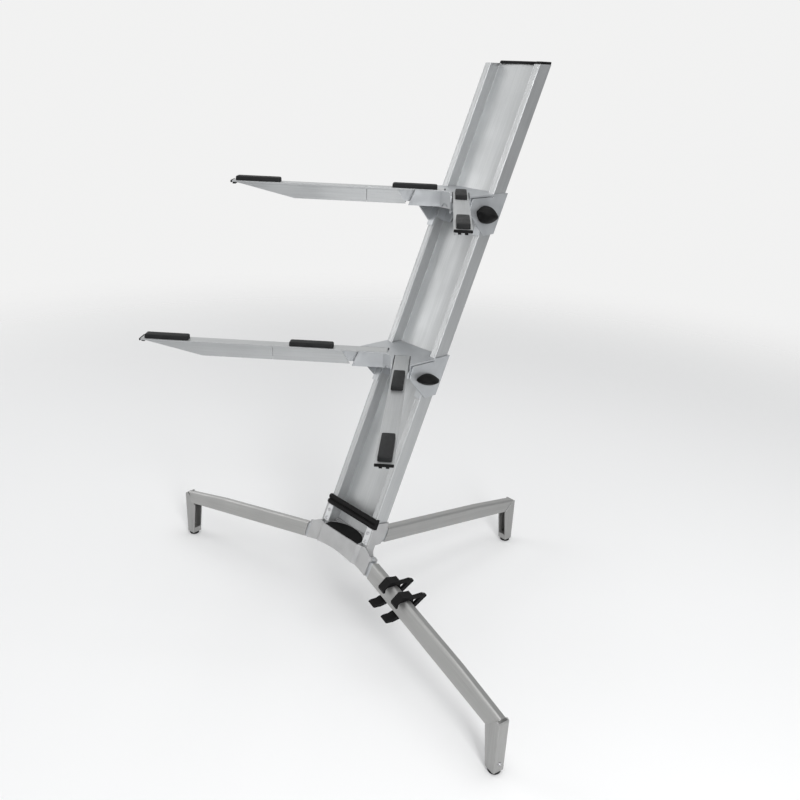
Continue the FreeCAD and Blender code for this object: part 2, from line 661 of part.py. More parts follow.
# ---------------------------------------------------------------- legs
class Leg:
    """Geometry shared by the parts of one leg: its seam, run, knee and foot."""

    def __init__(self, seam_frame, foot):
        self.seam = seam_frame
        self.foot = foot
        self.start = seam_frame.Base
        self.outward = seam_frame.Rotation.multVec(X_AXIS)
        knee = V(foot.x, foot.y, KNEE_Z)
        self.run = knee - self.start
        self.length = self.run.Length
        self.frame = frame_of(self.start, self.run, seam_frame.Rotation.multVec(Z_AXIS))
        heading = V(self.run.x, self.run.y, 0).normalize()
        self.post = frame_of(foot, heading, Z_AXIS)

    def section(self, inset, length_from, length_to):
        """Bar along the leg with rounded top edges; inset shrinks it on all sides."""
        half = LEG_WIDTH / 2 - inset
        top = LEG_HEIGHT / 2 - inset
        bottom = -LEG_HEIGHT / 2
        fall = self.length - LEG_TAPER
        outline = [V(length_from, -half, bottom), V(length_to, -half, bottom)]
        if length_to > fall:
            outline.append(V(length_to, -half, top - LEG_END_DROP * (length_to - fall) / LEG_TAPER))
        outline += [V(min(fall, length_to), -half, top), V(length_from, -half, top)]
        bar = prism(outline, V(0, 2 * half, 0))
        corner = LEG_CORNER - inset
        return round_edges(bar, corner, lambda edge: (edge.BoundBox.ZMin > bottom + 1
                                                      and edge.BoundBox.XLength > 20))

    def mitre(self):
        """Plane between the leg and its foot post, as a point and a normal up the leg."""
        outer = self.post.multVec(V(POST_BOTTOM_LENGTH / 2 + 2, 0, KNEE_Z + LEG_HEIGHT / 2))
        inner = self.post.multVec(V(POST_BOTTOM_LENGTH / 2 + 2 - POST_TOP_LENGTH, 0,
                                    KNEE_Z - LEG_HEIGHT / 2 + 2))
        along = outer - inner
        side = self.post.Rotation.multVec(Y_AXIS)
        normal = side.cross(along).normalize()
        if normal.z < 0:
            normal = normal * -1
        return outer, normal

    def knee_round(self):
        """Corner piece cut off the outside of the knee."""
        x = POST_BOTTOM_LENGTH / 2 + 2
        top = KNEE_Z + LEG_HEIGHT / 2 - LEG_END_DROP - 2.0
        half = POST_WIDTH
        corner = box_between(V(x - KNEE_RADIUS, -half, top - KNEE_RADIUS), V(x + 9, half, top + 20))
        centre = V(x - KNEE_RADIUS, 0, top - KNEE_RADIUS)
        round_bar = rod(KNEE_RADIUS, centre - V(0, half, 0), centre + V(0, half, 0))
        return place(corner.cut(round_bar), self.post)


def make_legs():
    right, rear = seam_frames()
    front_leg = Leg(right, V(FRONT_FOOT_X, FRONT_FOOT_Y, 0))
    rear_leg = Leg(rear, V(0, REAR_FOOT_Y, 0))
    return front_leg, rear_leg


def leg_channel(leg):
    """Channel open underneath, with small lips, from its hinge to the mitred knee."""
    body = leg.section(0, -30, leg.length + 40)
    inside = leg.section(LEG_WALL, -40, leg.length + 50)
    body = place(body.cut(inside), leg.frame)
    point, normal = leg.mitre()
    body = body.common(half_space(point, normal))
    body = body.cut(rim_room(leg)).cut(leg.knee_round())
    reach = BARREL_RADIUS + KNUCKLE_CLEARANCE
    height = hinge_height()
    half = LEG_WIDTH
    room = rod(reach, V(0, -half, height), V(0, half, height))
    room = room.fuse(box_between(V(-reach, -half, height), V(reach, half, height + reach)))
    return body.cut(place(room, leg.seam)).removeSplitter()


def rim_room(leg):
    """What the leg's bowed inner end leaves open before the hub's arm."""
    low = -LEG_HEIGHT
    high = LEG_HEIGHT
    side = -LEG_WIDTH
    bow = Part.Arc(V(RIM_GAP, side, high), V(RIM_GAP + RIM_BOW, side, 0), V(RIM_GAP - 2, side, low)).toShape()
    wire = Part.Wire([bow, Part.makeLine(V(RIM_GAP - 2, side, low), V(-BIG / 20, side, low)),
                      Part.makeLine(V(-BIG / 20, side, low), V(-BIG / 20, side, high)),
                      Part.makeLine(V(-BIG / 20, side, high), V(RIM_GAP, side, high))])
    return place(Part.Face(wire).extrude(V(0, 2 * LEG_WIDTH, 0)), leg.seam)


def hinge_block(leg):
    """Casting inside the leg's inner end with the lug that turns on the pin."""
    inset = LEG_WALL + BLOCK_GAP
    block = place(leg.section(inset, -20, BLOCK_LENGTH), leg.frame)
    reach = BARREL_RADIUS + KNUCKLE_CLEARANCE
    height = hinge_height()
    half = LEG_WIDTH
    block = block.common(half_space(leg.seam.multVec(V(SEAM_GAP, 0, 0)), leg.outward))
    room = rod(reach, V(0, -half, height), V(0, half, height))
    block = block.cut(place(room, leg.seam))
    near, far = lug_span()
    barrel = rod(BARREL_RADIUS, V(0, near, height), V(0, far, height))
    arm = prism([V(SEAM_GAP, near, height - 4), V(SEAM_GAP, near, 2), V(2 * reach, near, 2),
                 V(2 * reach, near, height - 8), V(4, near, height - 5)], V(0, LUG_WIDTH, 0))
    lug = place(barrel.fuse(arm), leg.seam)
    bore = rod(PIN_RADIUS + PIN_CLEARANCE, V(0, -half, height), V(0, half, height))
    return block.fuse(lug).cut(place(bore, leg.seam)).removeSplitter()


def foot_post(leg):
    """Upright channel open towards the hub, closed at its foot."""
    outer = POST_BOTTOM_LENGTH / 2
    top_outer = outer + 2
    high = KNEE_Z + LEG_HEIGHT
    low = FOOT_HEIGHT
    knee_low = KNEE_Z - LEG_HEIGHT / 2
    half = POST_WIDTH / 2
    outline = [V(-outer, -half, low), V(outer, -half, low), V(top_outer, -half, knee_low + 20),
               V(top_outer, -half, high), V(top_outer - POST_TOP_LENGTH, -half, high),
               V(top_outer - POST_TOP_LENGTH, -half, knee_low)]
    body = prism(outline, V(0, POST_WIDTH, 0))
    body = round_edges(body, POST_EDGE, lambda edge: (edge.BoundBox.XMin > outer - 0.1
                                                      and edge.BoundBox.ZLength > 5))
    wall = POST_WALL
    inside = prism([V(-BIG / 9, -half + wall, low + POST_PLUG), V(outer - wall, -half + wall, low + POST_PLUG),
                    V(top_outer - wall, -half + wall, knee_low + 20),
                    V(top_outer - wall, -half + wall, high + 1), V(-BIG / 9, -half + wall, high + 1)],
                   V(0, POST_WIDTH - 2 * wall, 0))
    body = body.cut(inside)
    body = body.cut(rod(FOOT_STEM_RADIUS, V(0, 0, 0), V(0, 0, low + FOOT_STEM_LENGTH)))
    body = body.cut(foot_screw_hole())
    body = place(body, leg.post)
    point, normal = leg.mitre()
    body = body.common(half_space(point, normal * -1))
    return body.cut(leg.knee_round()).removeSplitter()


def foot_screw_hole():
    face = POST_BOTTOM_LENGTH / 2 + 2
    return rod(FOOT_SCREW_RADIUS, V(face - FOOT_SCREW_LENGTH, 0, FOOT_SCREW_Z), V(face, 0, FOOT_SCREW_Z))


def foot_screw(leg):
    """Small screw in the post's outer face."""
    face = POST_BOTTOM_LENGTH / 2 + 0.45
    shank = rod(FOOT_SCREW_RADIUS, V(face - FOOT_SCREW_LENGTH + 3, 0, FOOT_SCREW_Z), V(face, 0, FOOT_SCREW_Z))
    head = rod(FOOT_SCREW_HEAD, V(face, 0, FOOT_SCREW_Z), V(face + 1.2, 0, FOOT_SCREW_Z))
    return place(shank.fuse(head).removeSplitter(), leg.post)


def rubber_foot(leg):
    """Disc that stands on the floor, with its stem in the post."""
    disc = rod(FOOT_RADIUS, V(0, 0, 0), V(0, 0, FOOT_HEIGHT))
    disc = bevel_edges(disc, FOOT_EDGE, lambda edge: edge.BoundBox.ZMax < 0.1 and edge.BoundBox.XLength > 1)
    stem = rod(FOOT_STEM_RADIUS, V(0, 0, FOOT_HEIGHT), V(0, 0, FOOT_HEIGHT + FOOT_STEM_LENGTH - 1))
    return place(disc.fuse(stem).removeSplitter(), leg.post)


def clip_outline(gap):
    """Outline of a clip's upper part across the leg: tongue, crown and cable block."""
    half = LEG_WIDTH / 2
    outer = half + CLIP_WALL
    top = LEG_HEIGHT / 2
    crown = top + CLIP_CROWN
    return [V(0, -half - gap, top - CLIP_TONGUE), V(0, -outer - 1, top - CLIP_TONGUE),
            V(0, -outer - 1, top - CLIP_TONGUE / 2), V(0, -half / 2, crown),
            V(0, CLIP_REACH * 0.4, crown - CLIP_SAG), V(0, CLIP_REACH - 3, crown),
            V(0, CLIP_REACH, crown - 3), V(0, CLIP_REACH - 6, top - CLIP_TONGUE),
            V(0, outer, top - CLIP_TONGUE), V(0, half + gap, top - CLIP_TONGUE)]


def clip_hook_outline(gap):
    """Outline of a clip's strap behind and below the leg, and its front hook."""
    half = LEG_WIDTH / 2
    outer = half + CLIP_WALL
    low = -LEG_HEIGHT / 2 - gap
    high = LEG_HEIGHT / 2 - CLIP_TONGUE + 3
    return [V(0, half + gap, high), V(0, outer, high), V(0, outer, low - 2), V(0, half, low - CLIP_WALL - 1.5),
            V(0, -half / 2, low - CLIP_WALL - 4), V(0, -half - 6, low - CLIP_WALL - 6.5),
            V(0, 5 - CLIP_HOOK, low - CLIP_WALL - 6), V(0, -CLIP_HOOK, low - CLIP_WALL - 2.5),
            V(0, 3 - CLIP_HOOK, low - CLIP_WALL), V(0, -half - 8, low - CLIP_WALL),
            V(0, -half, low), V(0, half + gap, low)]


def cable_clip(leg, station):
    """Snap-on clip: a crown with a split cable loop behind, and a hook below in front."""
    gap = CLIP_GAP
    half = LEG_WIDTH / 2 + gap
    top = LEG_HEIGHT / 2 + gap
    over = V(CLIP_LENGTH, 0, 0)
    clip = prism(clip_outline(gap), over).fuse(prism(clip_hook_outline(gap), over))
    room = box_between(V(-1, -half, -LEG_HEIGHT / 2 - gap), V(CLIP_LENGTH + 1, half, top))
    room = round_edges(room, LEG_CORNER, lambda edge: (runs_along(edge, X_AXIS)
                                                       and edge.BoundBox.ZMin > top - 0.1))
    centre = clip_loop_centre()
    hole = rod(CLIP_HOLE_RADIUS, centre - over, centre + over * 2)
    mouth = box_between(V(-1, centre.y - CLIP_MOUTH / 2, centre.z - BIG / 40),
                        V(CLIP_LENGTH + 1, centre.y + CLIP_MOUTH / 2, centre.z))
    clip = clip.cut([hole, mouth, room])
    return place(clip.removeSplitter(), leg.frame.multiply(Placement(V(station, 0, 0), Rotation())))


def clip_loop_centre():
    """Middle of the cable's hole, in the clip's frame."""
    return V(0, LEG_WIDTH / 2 + CLIP_LOOP_OUT, LEG_HEIGHT / 2 + CLIP_LOOP_RISE)


# ---------------------------------------------------------------- carriages
class Tier:
    """One level: its height, its frame on the column and its arm frames."""

    def __init__(self, index):
        self.index = index
        self.name = TIER_NAMES[index]
        self.top = TIER_HEIGHTS[index]
        face_y = DATUM_Y + (self.top - DATUM_Z) * TAN
        self.frame = Placement(V(0, face_y, self.top), Rotation())
        self.reach = ARM_REACH[index] - TIP_CAP

    def arm_frame(self):
        """X along the right arm from the crossing, Z up, at the arm's top face."""
        turn = Rotation(Z_AXIS, -90 + ARM_SPREAD)
        return self.frame.multiply(Placement(V(0, -ARM_APEX, 0), turn))

    def bolt_axis(self):
        return V(0, -BOLT_SETBACK, -BOLT_DROP)


def arm_local():
    """The right arm's frame within the tier's frame."""
    return Placement(V(0, -ARM_APEX, 0), Rotation(Z_AXIS, -90 + ARM_SPREAD))


def leaning_local():
    return Placement(V(0, 0, 0), Rotation(X_AXIS, -LEAN))


def carriage_plate():
    """Level top plate with the two open slots, in the tier's frame."""
    outer = HALF + CHEEK_GAP + CHEEK
    reach = SOCKET_END / math.sqrt(2)
    wide = (SLOT_WIDTH / 2 + SOCKET_WALL) / math.sqrt(2)
    tip = V(reach - wide, -ARM_APEX - reach - wide, -PLATE)
    side = V(outer, -ARM_APEX - (2 * reach - outer) , -PLATE)
    inner = TROUGH_HALF
    back = WEB_DEPTH - WEB_BOW - TROUGH_GAP
    right = [V(WEB_NOSE_HALF, -WEB_NOSE, -PLATE), tip, side,
             V(outer, -PLATE_SIDE_REAR, -PLATE), V(inner, -PLATE_SIDE_REAR, -PLATE), V(inner, back, -PLATE)]
    left = [V(-point.x, point.y, point.z) for point in reversed(right)]
    return prism(right + left, V(0, 0, PLATE))


def socket(grow, floor):
    """Trough that takes the arm's sliding block, along the right arm."""
    half = SLOT_WIDTH / 2 + grow
    inner = SLOT_INNER - grow * SOCKET_INNER_WALL / SOCKET_WALL
    if grow:
        outline = [V(inner, -half, 0), V(SOCKET_END, -half, 0), V(SOCKET_LIP, -half, -floor),
                   V(inner, -half, -floor)]
    else:
        outline = [V(inner, -half, 1), V(BIG / 9, -half, 1), V(BIG / 9, -half, -floor), V(inner, -half, -floor)]
    return place(prism(outline, V(0, 2 * half, 0)), arm_local())


def cheek():
    """Right cheek in the tier's frame: it wraps the flange and bends at its slit."""
    inner = HALF + CHEEK_GAP
    outer = inner + CHEEK
    rear = COLUMN_DEPTH + SHOE_GAP + SHOE
    rear_low = rear * COS + (CHEEK_OUTLINE[-1][1] + rear * SIN) * TAN
    rear_top = rear * COS + rear * SIN * TAN
    points = [V(inner, y, z) for y, z in CHEEK_OUTLINE]
    points += [V(inner, rear_low, CHEEK_OUTLINE[-1][1]), V(inner, rear_top, 0), V(inner, RELIEF_Y, 0),
               V(inner, RELIEF_Y, CHEEK_OUTLINE[0][1])]
    plate = prism(points, V(outer - inner, 0, 0))
    plate = plate.cut(rod(RELIEF_RADIUS, V(inner - 1, RELIEF_Y, RELIEF_Z), V(outer + 1, RELIEF_Y, RELIEF_Z)))
    return plate


def flange_shoes():
    """Strips before and behind the right flange, joined to the cheek."""
    drop = -CHEEK_OUTLINE[2][1]
    outer = HALF + CHEEK_GAP + 0.5
    front = box_between(V(CHANNEL_HALF - CHEEK_GAP, -SHOE_GAP - SHOE, -drop * 1.2),
                        V(outer, -SHOE_GAP, drop))
    rear = box_between(V(HALF - REAR_LIP_WIDTH, COLUMN_DEPTH + SHOE_GAP, -drop * 1.2),
                       V(outer, COLUMN_DEPTH + SHOE_GAP + SHOE, drop))
    shoes = place(front.fuse(rear), leaning_local())
    level = box_between(V(0, -BIG / 9, -drop + 1), V(HALF * 2, BIG / 9, 0))
    return shoes.common(level)


def trough():
    """Back of the carriage inside the channel: a wall along the web and two ribs."""
    back = WEB_DEPTH - WEB_BOW - TROUGH_GAP
    wall = box_between(V(-TROUGH_HALF, back - SHOE, -TROUGH_LENGTH), V(TROUGH_HALF, back, PLATE * 6))
    rib = box_between(V(TROUGH_HALF - SHOE, -SHOE_GAP - SHOE, -TROUGH_LENGTH), V(TROUGH_HALF, back, PLATE * 6))
    arch = rod(TROUGH_ARCH, V(0, -BIG / 9, -TROUGH_LENGTH - 6), V(0, BIG / 9, -TROUGH_LENGTH - 6))
    body = wall.fuse(both_sides(rib)).cut(arch)
    body = place(body, leaning_local())
    return body.common(box_between(V(-HALF, -BIG / 9, -BIG / 9), V(HALF, BIG / 9, 0)))


def nose_web():
    """Middle web between the two sockets, arched below."""
    depth = SOCKET_DEPTH
    web = box_between(V(-WEB_NOSE_HALF - 4, -WEB_NOSE, -depth), V(WEB_NOSE_HALF + 4, -WEB_NOSE + SOCKET_WALL, 0))
    arch = rod(WEB_NOSE_HALF, V(0, -BIG / 9, -depth - 1), V(0, BIG / 9, -depth - 1))
    return web.cut(arch)


def make_carriage(tier):
    """Sliding casting: plate, two sockets, clamp cheeks and channel guide."""
    outer = HALF + CHEEK_GAP + CHEEK
    sockets = both_sides(socket(SOCKET_WALL, SOCKET_DEPTH))
    floors = SOCKET_FLOOR
    body = carriage_plate().fuse(sockets)
    body = body.common(box_between(V(-outer, -BIG / 9, -BIG / 9), V(outer, BIG / 9, 0)))
    body = body.cut(slit_space())
    body = body.fuse(both_sides(cheek()) + both_sides(flange_shoes()) + [trough(), nose_web()])
    body = body.cut(both_sides(socket(0, floors)))
    under = box_between(V(-BIG / 9, -BIG / 9, -BIG / 9), V(BIG / 9, BIG / 9, -SOCKET_FLOOR - PLATE))
    body = body.cut(both_sides(socket_space_below(under)))
    bolt = tier.bolt_axis()
    hole = rod(BOLT_RADIUS + BOLT_CLEARANCE, bolt - V(outer + 1, 0, 0), bolt + V(outer + 1, 0, 0))
    body = body.cut(hole)
    return place(body.removeSplitter(), tier.frame)


def slit_space():
    """Slits that free the cheeks below the plate, both sides."""
    inner = HALF + CHEEK_GAP - 0.6
    slit = box_between(V(inner, -BIG / 9, -BIG / 9), V(BIG / 9, RELIEF_Y, -PLATE))
    return slit.fuse(mirror_x(slit))


def socket_space_below(under):
    """Hollow between the socket walls below the socket's floor."""
    half = SLOT_WIDTH / 2
    channel = box_between(V(SLOT_INNER, -half, -SOCKET_DEPTH - 1), V(BIG / 9, half, -SOCKET_FLOOR - PLATE))
    return place(channel, arm_local()).common(under)


def arm_tongue_start():
    return SLOT_INNER + TONGUE_GAP


def make_arm(tier):
    """Right arm: flat top plate on two flanges that taper to the tip."""
    tip = tier.reach
    half = ARM_WIDTH / 2
    plate = box_between(V(arm_tongue_start(), -half, -ARM_SKIN), V(tip, half, 0))
    side = ARM_FLANGES / 2
    flange = prism([V(FLANGE_START, side - ARM_FLANGE_WALL, -ARM_SKIN),
                    V(FLANGE_START_LOW, side - ARM_FLANGE_WALL, -ARM_DEPTH),
                    V(tip - ARM_TAPER, side - ARM_FLANGE_WALL, -ARM_DEPTH),
                    V(tip - ARM_TIP_CUT, side - ARM_FLANGE_WALL, -ARM_SKIN)], V(0, ARM_FLANGE_WALL, 0))
    other = flange.mirror(V(0, 0, 0), Y_AXIS)
    body = plate.fuse([flange, other])
    slit = box_between(V(tip - ARM_SLIT_FROM_TIP, -half, -ARM_DEPTH - 1),
                       V(tip - ARM_SLIT_FROM_TIP + ARM_SLIT, half, -ARM_SKIN - 1.5))
    body = body.cut(slit)
    for start in pad_starts(tier):
        body = body.cut([plug(centre, PLUG_CLEARANCE, ARM_SKIN + 1) for centre in plug_centres(start)])
    return place(body.removeSplitter(), tier.arm_frame())


def make_arm_root(tier):
    """Sliding block under the arm's tongue, with a nose inside the arm's flanges."""
    wide = SLOT_WIDTH / 2 - SLIDE_FIT
    start = arm_tongue_start() - TONGUE_GAP + SLIDE_FIT
    neck = ROOT_NECK_WIDTH / 2
    bottom = -SOCKET_FLOOR + SLIDE_FIT
    block = box_between(V(start, -wide, bottom), V(ROOT_END, wide, -ROOT_SHOULDER))
    upper = box_between(V(start, -neck, -ROOT_SHOULDER), V(ROOT_NOSE_END, neck, -ARM_SKIN))
    nose = box_between(V(ROOT_END, -neck, bottom), V(ROOT_NOSE_END, neck, -ROOT_SHOULDER))
    return place(block.fuse([upper, nose]).removeSplitter(), tier.arm_frame())


def make_arm_cap(tier):
    """End strip across the arm's tip, with two plugs under the top plate."""
    half = ARM_WIDTH / 2
    tip = tier.reach
    strip = box_between(V(tip, -half, -TIP_CAP_HEIGHT), V(tip + TIP_CAP, half, TIP_CAP_PROUD))
    strip = bevel_edges(strip, TIP_CAP_CORNER, lambda edge: (runs_along(edge, Z_AXIS)
                                                             and edge.BoundBox.XMin > tip + 1))
    near = ARM_TIP_CUT + TIP_CAP_PLUG
    plugs = [box_between(V(tip - near, y - TIP_CAP_PLUG / 2, -ARM_SKIN - TIP_CAP_PLUG_DEPTH),
                         V(tip, y + TIP_CAP_PLUG / 2, -ARM_SKIN)) for y in (-TIP_CAP_PLUG, TIP_CAP_PLUG)]
    return place(strip.fuse(plugs).removeSplitter(), tier.arm_frame())


# ---------------------------------------------------------------- pads
def pad_starts(tier):
    """Where the inner and the outer pad begin along the arm."""
    return INNER_PAD_START[tier.index], tier.reach - PAD_TIP_GAP - PAD_LENGTH


def plug_centres(start):
    """Plug positions of one pad on the arm's top face."""
    return [V(start + along, 0, 0) for along in (PLUG_INSET, PAD_LENGTH - PLUG_INSET)]


def plug(centre, gap, length):
    """Square plug under a pad, or with a gap the hole that takes it."""
    half = PLUG_WIDTH / 2 + gap
    return box_between(centre - V(half, half, length), centre + V(half, half, gap))


def make_pad(tier, which):
    """Soft pad with bevelled corners, held by two plugs."""
    start = pad_starts(tier)[which]
    half = PAD_WIDTH / 2
    pad = box_between(V(start, -half, 0), V(start + PAD_LENGTH, half, PAD_HEIGHT))
    pad = bevel_edges(pad, PAD_CORNER, lambda edge: runs_along(edge, Z_AXIS))
    pad = bevel_edges(pad, PAD_EDGE, lambda edge: edge.BoundBox.ZMin > PAD_HEIGHT - 0.01)
    for centre in plug_centres(start):
        over_block = centre.x < ROOT_NOSE_END + PLUG_WIDTH
        length = ARM_SKIN - PLUG_CLEARANCE if over_block else PLUG_LENGTH
        pad = pad.fuse(plug(centre, 0, length))
    return place(pad.removeSplitter(), tier.arm_frame())


# ---------------------------------------------------------------- clamps
def clamp_frame(tier):
    """Right cheek's outer face at the bolt: X outward, Y along the knob's chord."""
    bolt = tier.frame.multVec(tier.bolt_axis())
    face = V(HALF + CHEEK_GAP + CHEEK, bolt.y, bolt.z)
    turn = Rotation(X_AXIS, -LEAN - KNOB_TURNS[tier.index])
    return Placement(face, turn)


def make_clamp_bolt(tier):
    """Bolt through both cheeks, from the knob to the nut."""
    frame = clamp_frame(tier)
    across = 2 * (HALF + CHEEK_GAP + CHEEK)
    left = V(-across - NUT_HEIGHT - BOLT_END, 0, 0)
    return place(rod(BOLT_RADIUS, left, V(KNOB_BOLT_DEPTH, 0, 0)), frame)


def make_clamp_knob(tier):
    """Half of a lens-shaped disc, cut flat where it faces the cheek."""
    crown = KNOB_THICKNESS / 2
    rim = KNOB_RIM / 2
    upper = [V(KNOB_RADIUS * out, 0, rim + (crown - rim) * up) for out, up in KNOB_PROFILE]
    lower = [V(point.x, 0, -point.z) for point in reversed(upper)]
    outline = upper + lower
    lens = Part.Face(Part.makePolygon(outline + [outline[0]])).revolve(V(0, 0, 0), Z_AXIS, 360)
    lens.translate(V(KNOB_OUT, 0, 0))
    lens = lens.common(half_space(V(KNOB_GAP, 0, 0), X_AXIS))
    boss = rod(KNOB_BOSS_RADIUS, V(KNOB_GAP, 0, 0), V(KNOB_BOLT_DEPTH + KNOB_GAP, 0, 0))
    bore = rod(BOLT_RADIUS, V(0, 0, 0), V(KNOB_BOLT_DEPTH, 0, 0))
    return place(lens.fuse(boss).cut(bore).removeSplitter(), clamp_frame(tier))


def make_clamp_nut(tier):
    """Hexagonal nut against the left cheek."""
    bolt = tier.frame.multVec(tier.bolt_axis())
    corner = NUT_FLATS / math.sqrt(3)
    points = [V(0, corner * math.cos(math.radians(60 * i)), corner * math.sin(math.radians(60 * i)))
              for i in range(6)]
    nut = prism(points, V(-NUT_HEIGHT, 0, 0))
    nut = nut.cut(rod(BOLT_RADIUS + BOLT_CLEARANCE, V(1, 0, 0), V(-NUT_HEIGHT - 1, 0, 0)))
    return place(nut, Placement(V(-HALF - CHEEK_GAP - CHEEK, bolt.y, bolt.z), Rotation()))


# ---------------------------------------------------------------- base bar
def make_base_bar():
    """Two-lobed bar across the column's front, wrapped round the collar's sides."""
    outer = HALF + BAR_SIDE
    low = BAR_BOTTOM
    high = BAR_BOTTOM + BAR_HEIGHT
    middle = (low + high) / 2
    front = -BAR_FRONT
    outline = [V(-outer, -BAR_GAP, low), V(-outer, front + BAR_VEE, low), V(-outer, front, low + BAR_VEE),
               V(-outer, front, middle - BAR_VEE), V(-outer, front + BAR_VEE, middle),
               V(-outer, front, middle + BAR_VEE), V(-outer, front, high - BAR_VEE),
               V(-outer, front + BAR_VEE, high), V(-outer, -BAR_GAP, high)]
    bar = prism(outline, V(2 * outer, 0, 0))
    side = box_between(V(HALF + BAR_GAP, -BAR_GAP, low), V(outer, BAR_RETURN, high))
    bar = bar.fuse(both_sides(side)).removeSplitter()
    return place(bar, COLUMN_FRAME)


# ---------------------------------------------------------------- the stand
def build():
    """All pieces by name."""
    front_leg, rear_leg = make_legs()
    pieces = {
        "column": make_column(),
        "web_cap": make_web_cap(),
        "side_cap_right": make_flange_cap(),
        "base_hub": make_hub(),
        "hub_cover": make_hub_cover(),
        "base_bar": make_base_bar(),
        "fixing_plates": make_fixing_plates(),
        "plate_screws": make_plate_screws(),
        "hinge_pins": make_hinge_pins(),
    }
    leg_makers = {"leg": leg_channel, "hinge_block": hinge_block, "foot_post": foot_post,
                  "rubber_foot": rubber_foot, "foot_screw": foot_screw}
    for name, maker in leg_makers.items():
        right = maker(front_leg)
        pieces[name + "_right"] = right
        pieces[name + "_left"] = mirror_x(right)
        pieces[name + "_rear"] = maker(rear_leg)
    for name, station in zip(CLIP_NAMES, CLIP_STATIONS):
        pieces["cable_clip_" + name] = cable_clip(front_leg, station)
    for index in range(len(TIER_NAMES)):
        tier = Tier(index)
        pieces["carriage_" + tier.name] = make_carriage(tier)
        pieces["clamp_bolt_" + tier.name] = make_clamp_bolt(tier)
        pieces["clamp_knob_" + tier.name] = make_clamp_knob(tier)
        pieces["clamp_nut_" + tier.name] = make_clamp_nut(tier)
        sided = {"arm_": make_arm(tier), "arm_root_": make_arm_root(tier), "arm_cap_": make_arm_cap(tier),
                 "pad_inner_": make_pad(tier, 0), "pad_outer_": make_pad(tier, 1)}
        for name, right in sided.items():
            pieces[name + tier.name + "_right"] = right
            pieces[name + tier.name + "_left"] = mirror_x(right)
    return pieces


def main():
    os.makedirs("parts", exist_ok=True)
    for name, shape in build().items():
        shape.exportStep(os.path.join("parts", name + ".step"))


main()
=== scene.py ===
"""Dressed scene of a folding keyboard stand.

A leaning channel column stands on a hub with three folding legs and carries two
sliding carriages, each with a pair of padded arms. Sizes are in metres.
"""

import json
import logging
import math
from dataclasses import dataclass, field
from enum import Enum

import bmesh
import bpy
from mathutils import Matrix, Vector

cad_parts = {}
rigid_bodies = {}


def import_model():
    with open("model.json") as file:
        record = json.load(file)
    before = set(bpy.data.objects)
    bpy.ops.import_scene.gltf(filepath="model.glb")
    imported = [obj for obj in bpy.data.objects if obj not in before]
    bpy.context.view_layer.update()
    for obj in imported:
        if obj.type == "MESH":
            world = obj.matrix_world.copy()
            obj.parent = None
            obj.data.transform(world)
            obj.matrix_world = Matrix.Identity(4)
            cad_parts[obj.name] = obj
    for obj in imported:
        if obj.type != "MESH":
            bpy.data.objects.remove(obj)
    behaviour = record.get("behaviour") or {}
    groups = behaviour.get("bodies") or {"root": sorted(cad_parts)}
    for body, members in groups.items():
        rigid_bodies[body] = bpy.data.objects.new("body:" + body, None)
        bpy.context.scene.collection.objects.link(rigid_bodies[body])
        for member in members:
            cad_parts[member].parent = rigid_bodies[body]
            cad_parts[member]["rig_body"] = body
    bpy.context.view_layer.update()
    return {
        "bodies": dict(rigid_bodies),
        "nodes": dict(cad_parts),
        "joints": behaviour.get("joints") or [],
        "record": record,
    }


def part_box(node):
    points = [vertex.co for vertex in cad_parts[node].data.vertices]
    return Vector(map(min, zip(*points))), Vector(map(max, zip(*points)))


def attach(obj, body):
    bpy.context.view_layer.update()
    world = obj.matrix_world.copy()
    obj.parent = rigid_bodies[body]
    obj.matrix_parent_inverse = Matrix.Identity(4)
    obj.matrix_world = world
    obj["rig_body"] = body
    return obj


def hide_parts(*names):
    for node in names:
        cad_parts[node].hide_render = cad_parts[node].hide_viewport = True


log = logging.getLogger("keyboard_stand")

LEAN: float = math.radians(23.6)
ARM_TURN: float = math.radians(45.0)
LEG_FALL: float = 0.0644
LEG_SWEEP: float = 0.0623
LEG_SPAN: float = 0.393
REAR_FALL: float = 0.0590
REAR_SPAN: float = 0.3890

MM: float = 0.001


class Side(Enum):
    """The three ways out from the hub, and the two sides of a carriage."""

    RIGHT = "right"
    LEFT = "left"
    REAR = "rear"


class Level(Enum):
    """The two carriages on the column."""

    LOWER = "lower"
    UPPER = "upper"


class Direction(Enum):
    """Which way the drawn grain of a profile runs."""

    COLUMN = "column"
    ARM_RIGHT = "arm right"
    ARM_LEFT = "arm left"
    LEG_RIGHT = "leg right"
    LEG_LEFT = "leg left"
    LEG_REAR = "leg rear"
    UPRIGHT = "upright"

    def vector(self) -> Vector:
        """Gives the unit vector the grain follows.

        Returns:
            The vector, in the stand's frame.
        """
        sine, cosine = math.sin(ARM_TURN), math.cos(ARM_TURN)
        runs = {
            Direction.COLUMN: Vector((0.0, math.sin(LEAN), math.cos(LEAN))),
            Direction.ARM_RIGHT: Vector((sine, -cosine, 0.0)),
            Direction.ARM_LEFT: Vector((-sine, -cosine, 0.0)),
            Direction.LEG_RIGHT: Vector((LEG_SPAN, -LEG_SWEEP, -LEG_FALL)),
            Direction.LEG_LEFT: Vector((-LEG_SPAN, -LEG_SWEEP, -LEG_FALL)),
            Direction.LEG_REAR: Vector((0.0, REAR_SPAN, -REAR_FALL)),
            Direction.UPRIGHT: Vector((0.0, 0.0, 1.0)),
        }
        return runs[self].normalized()


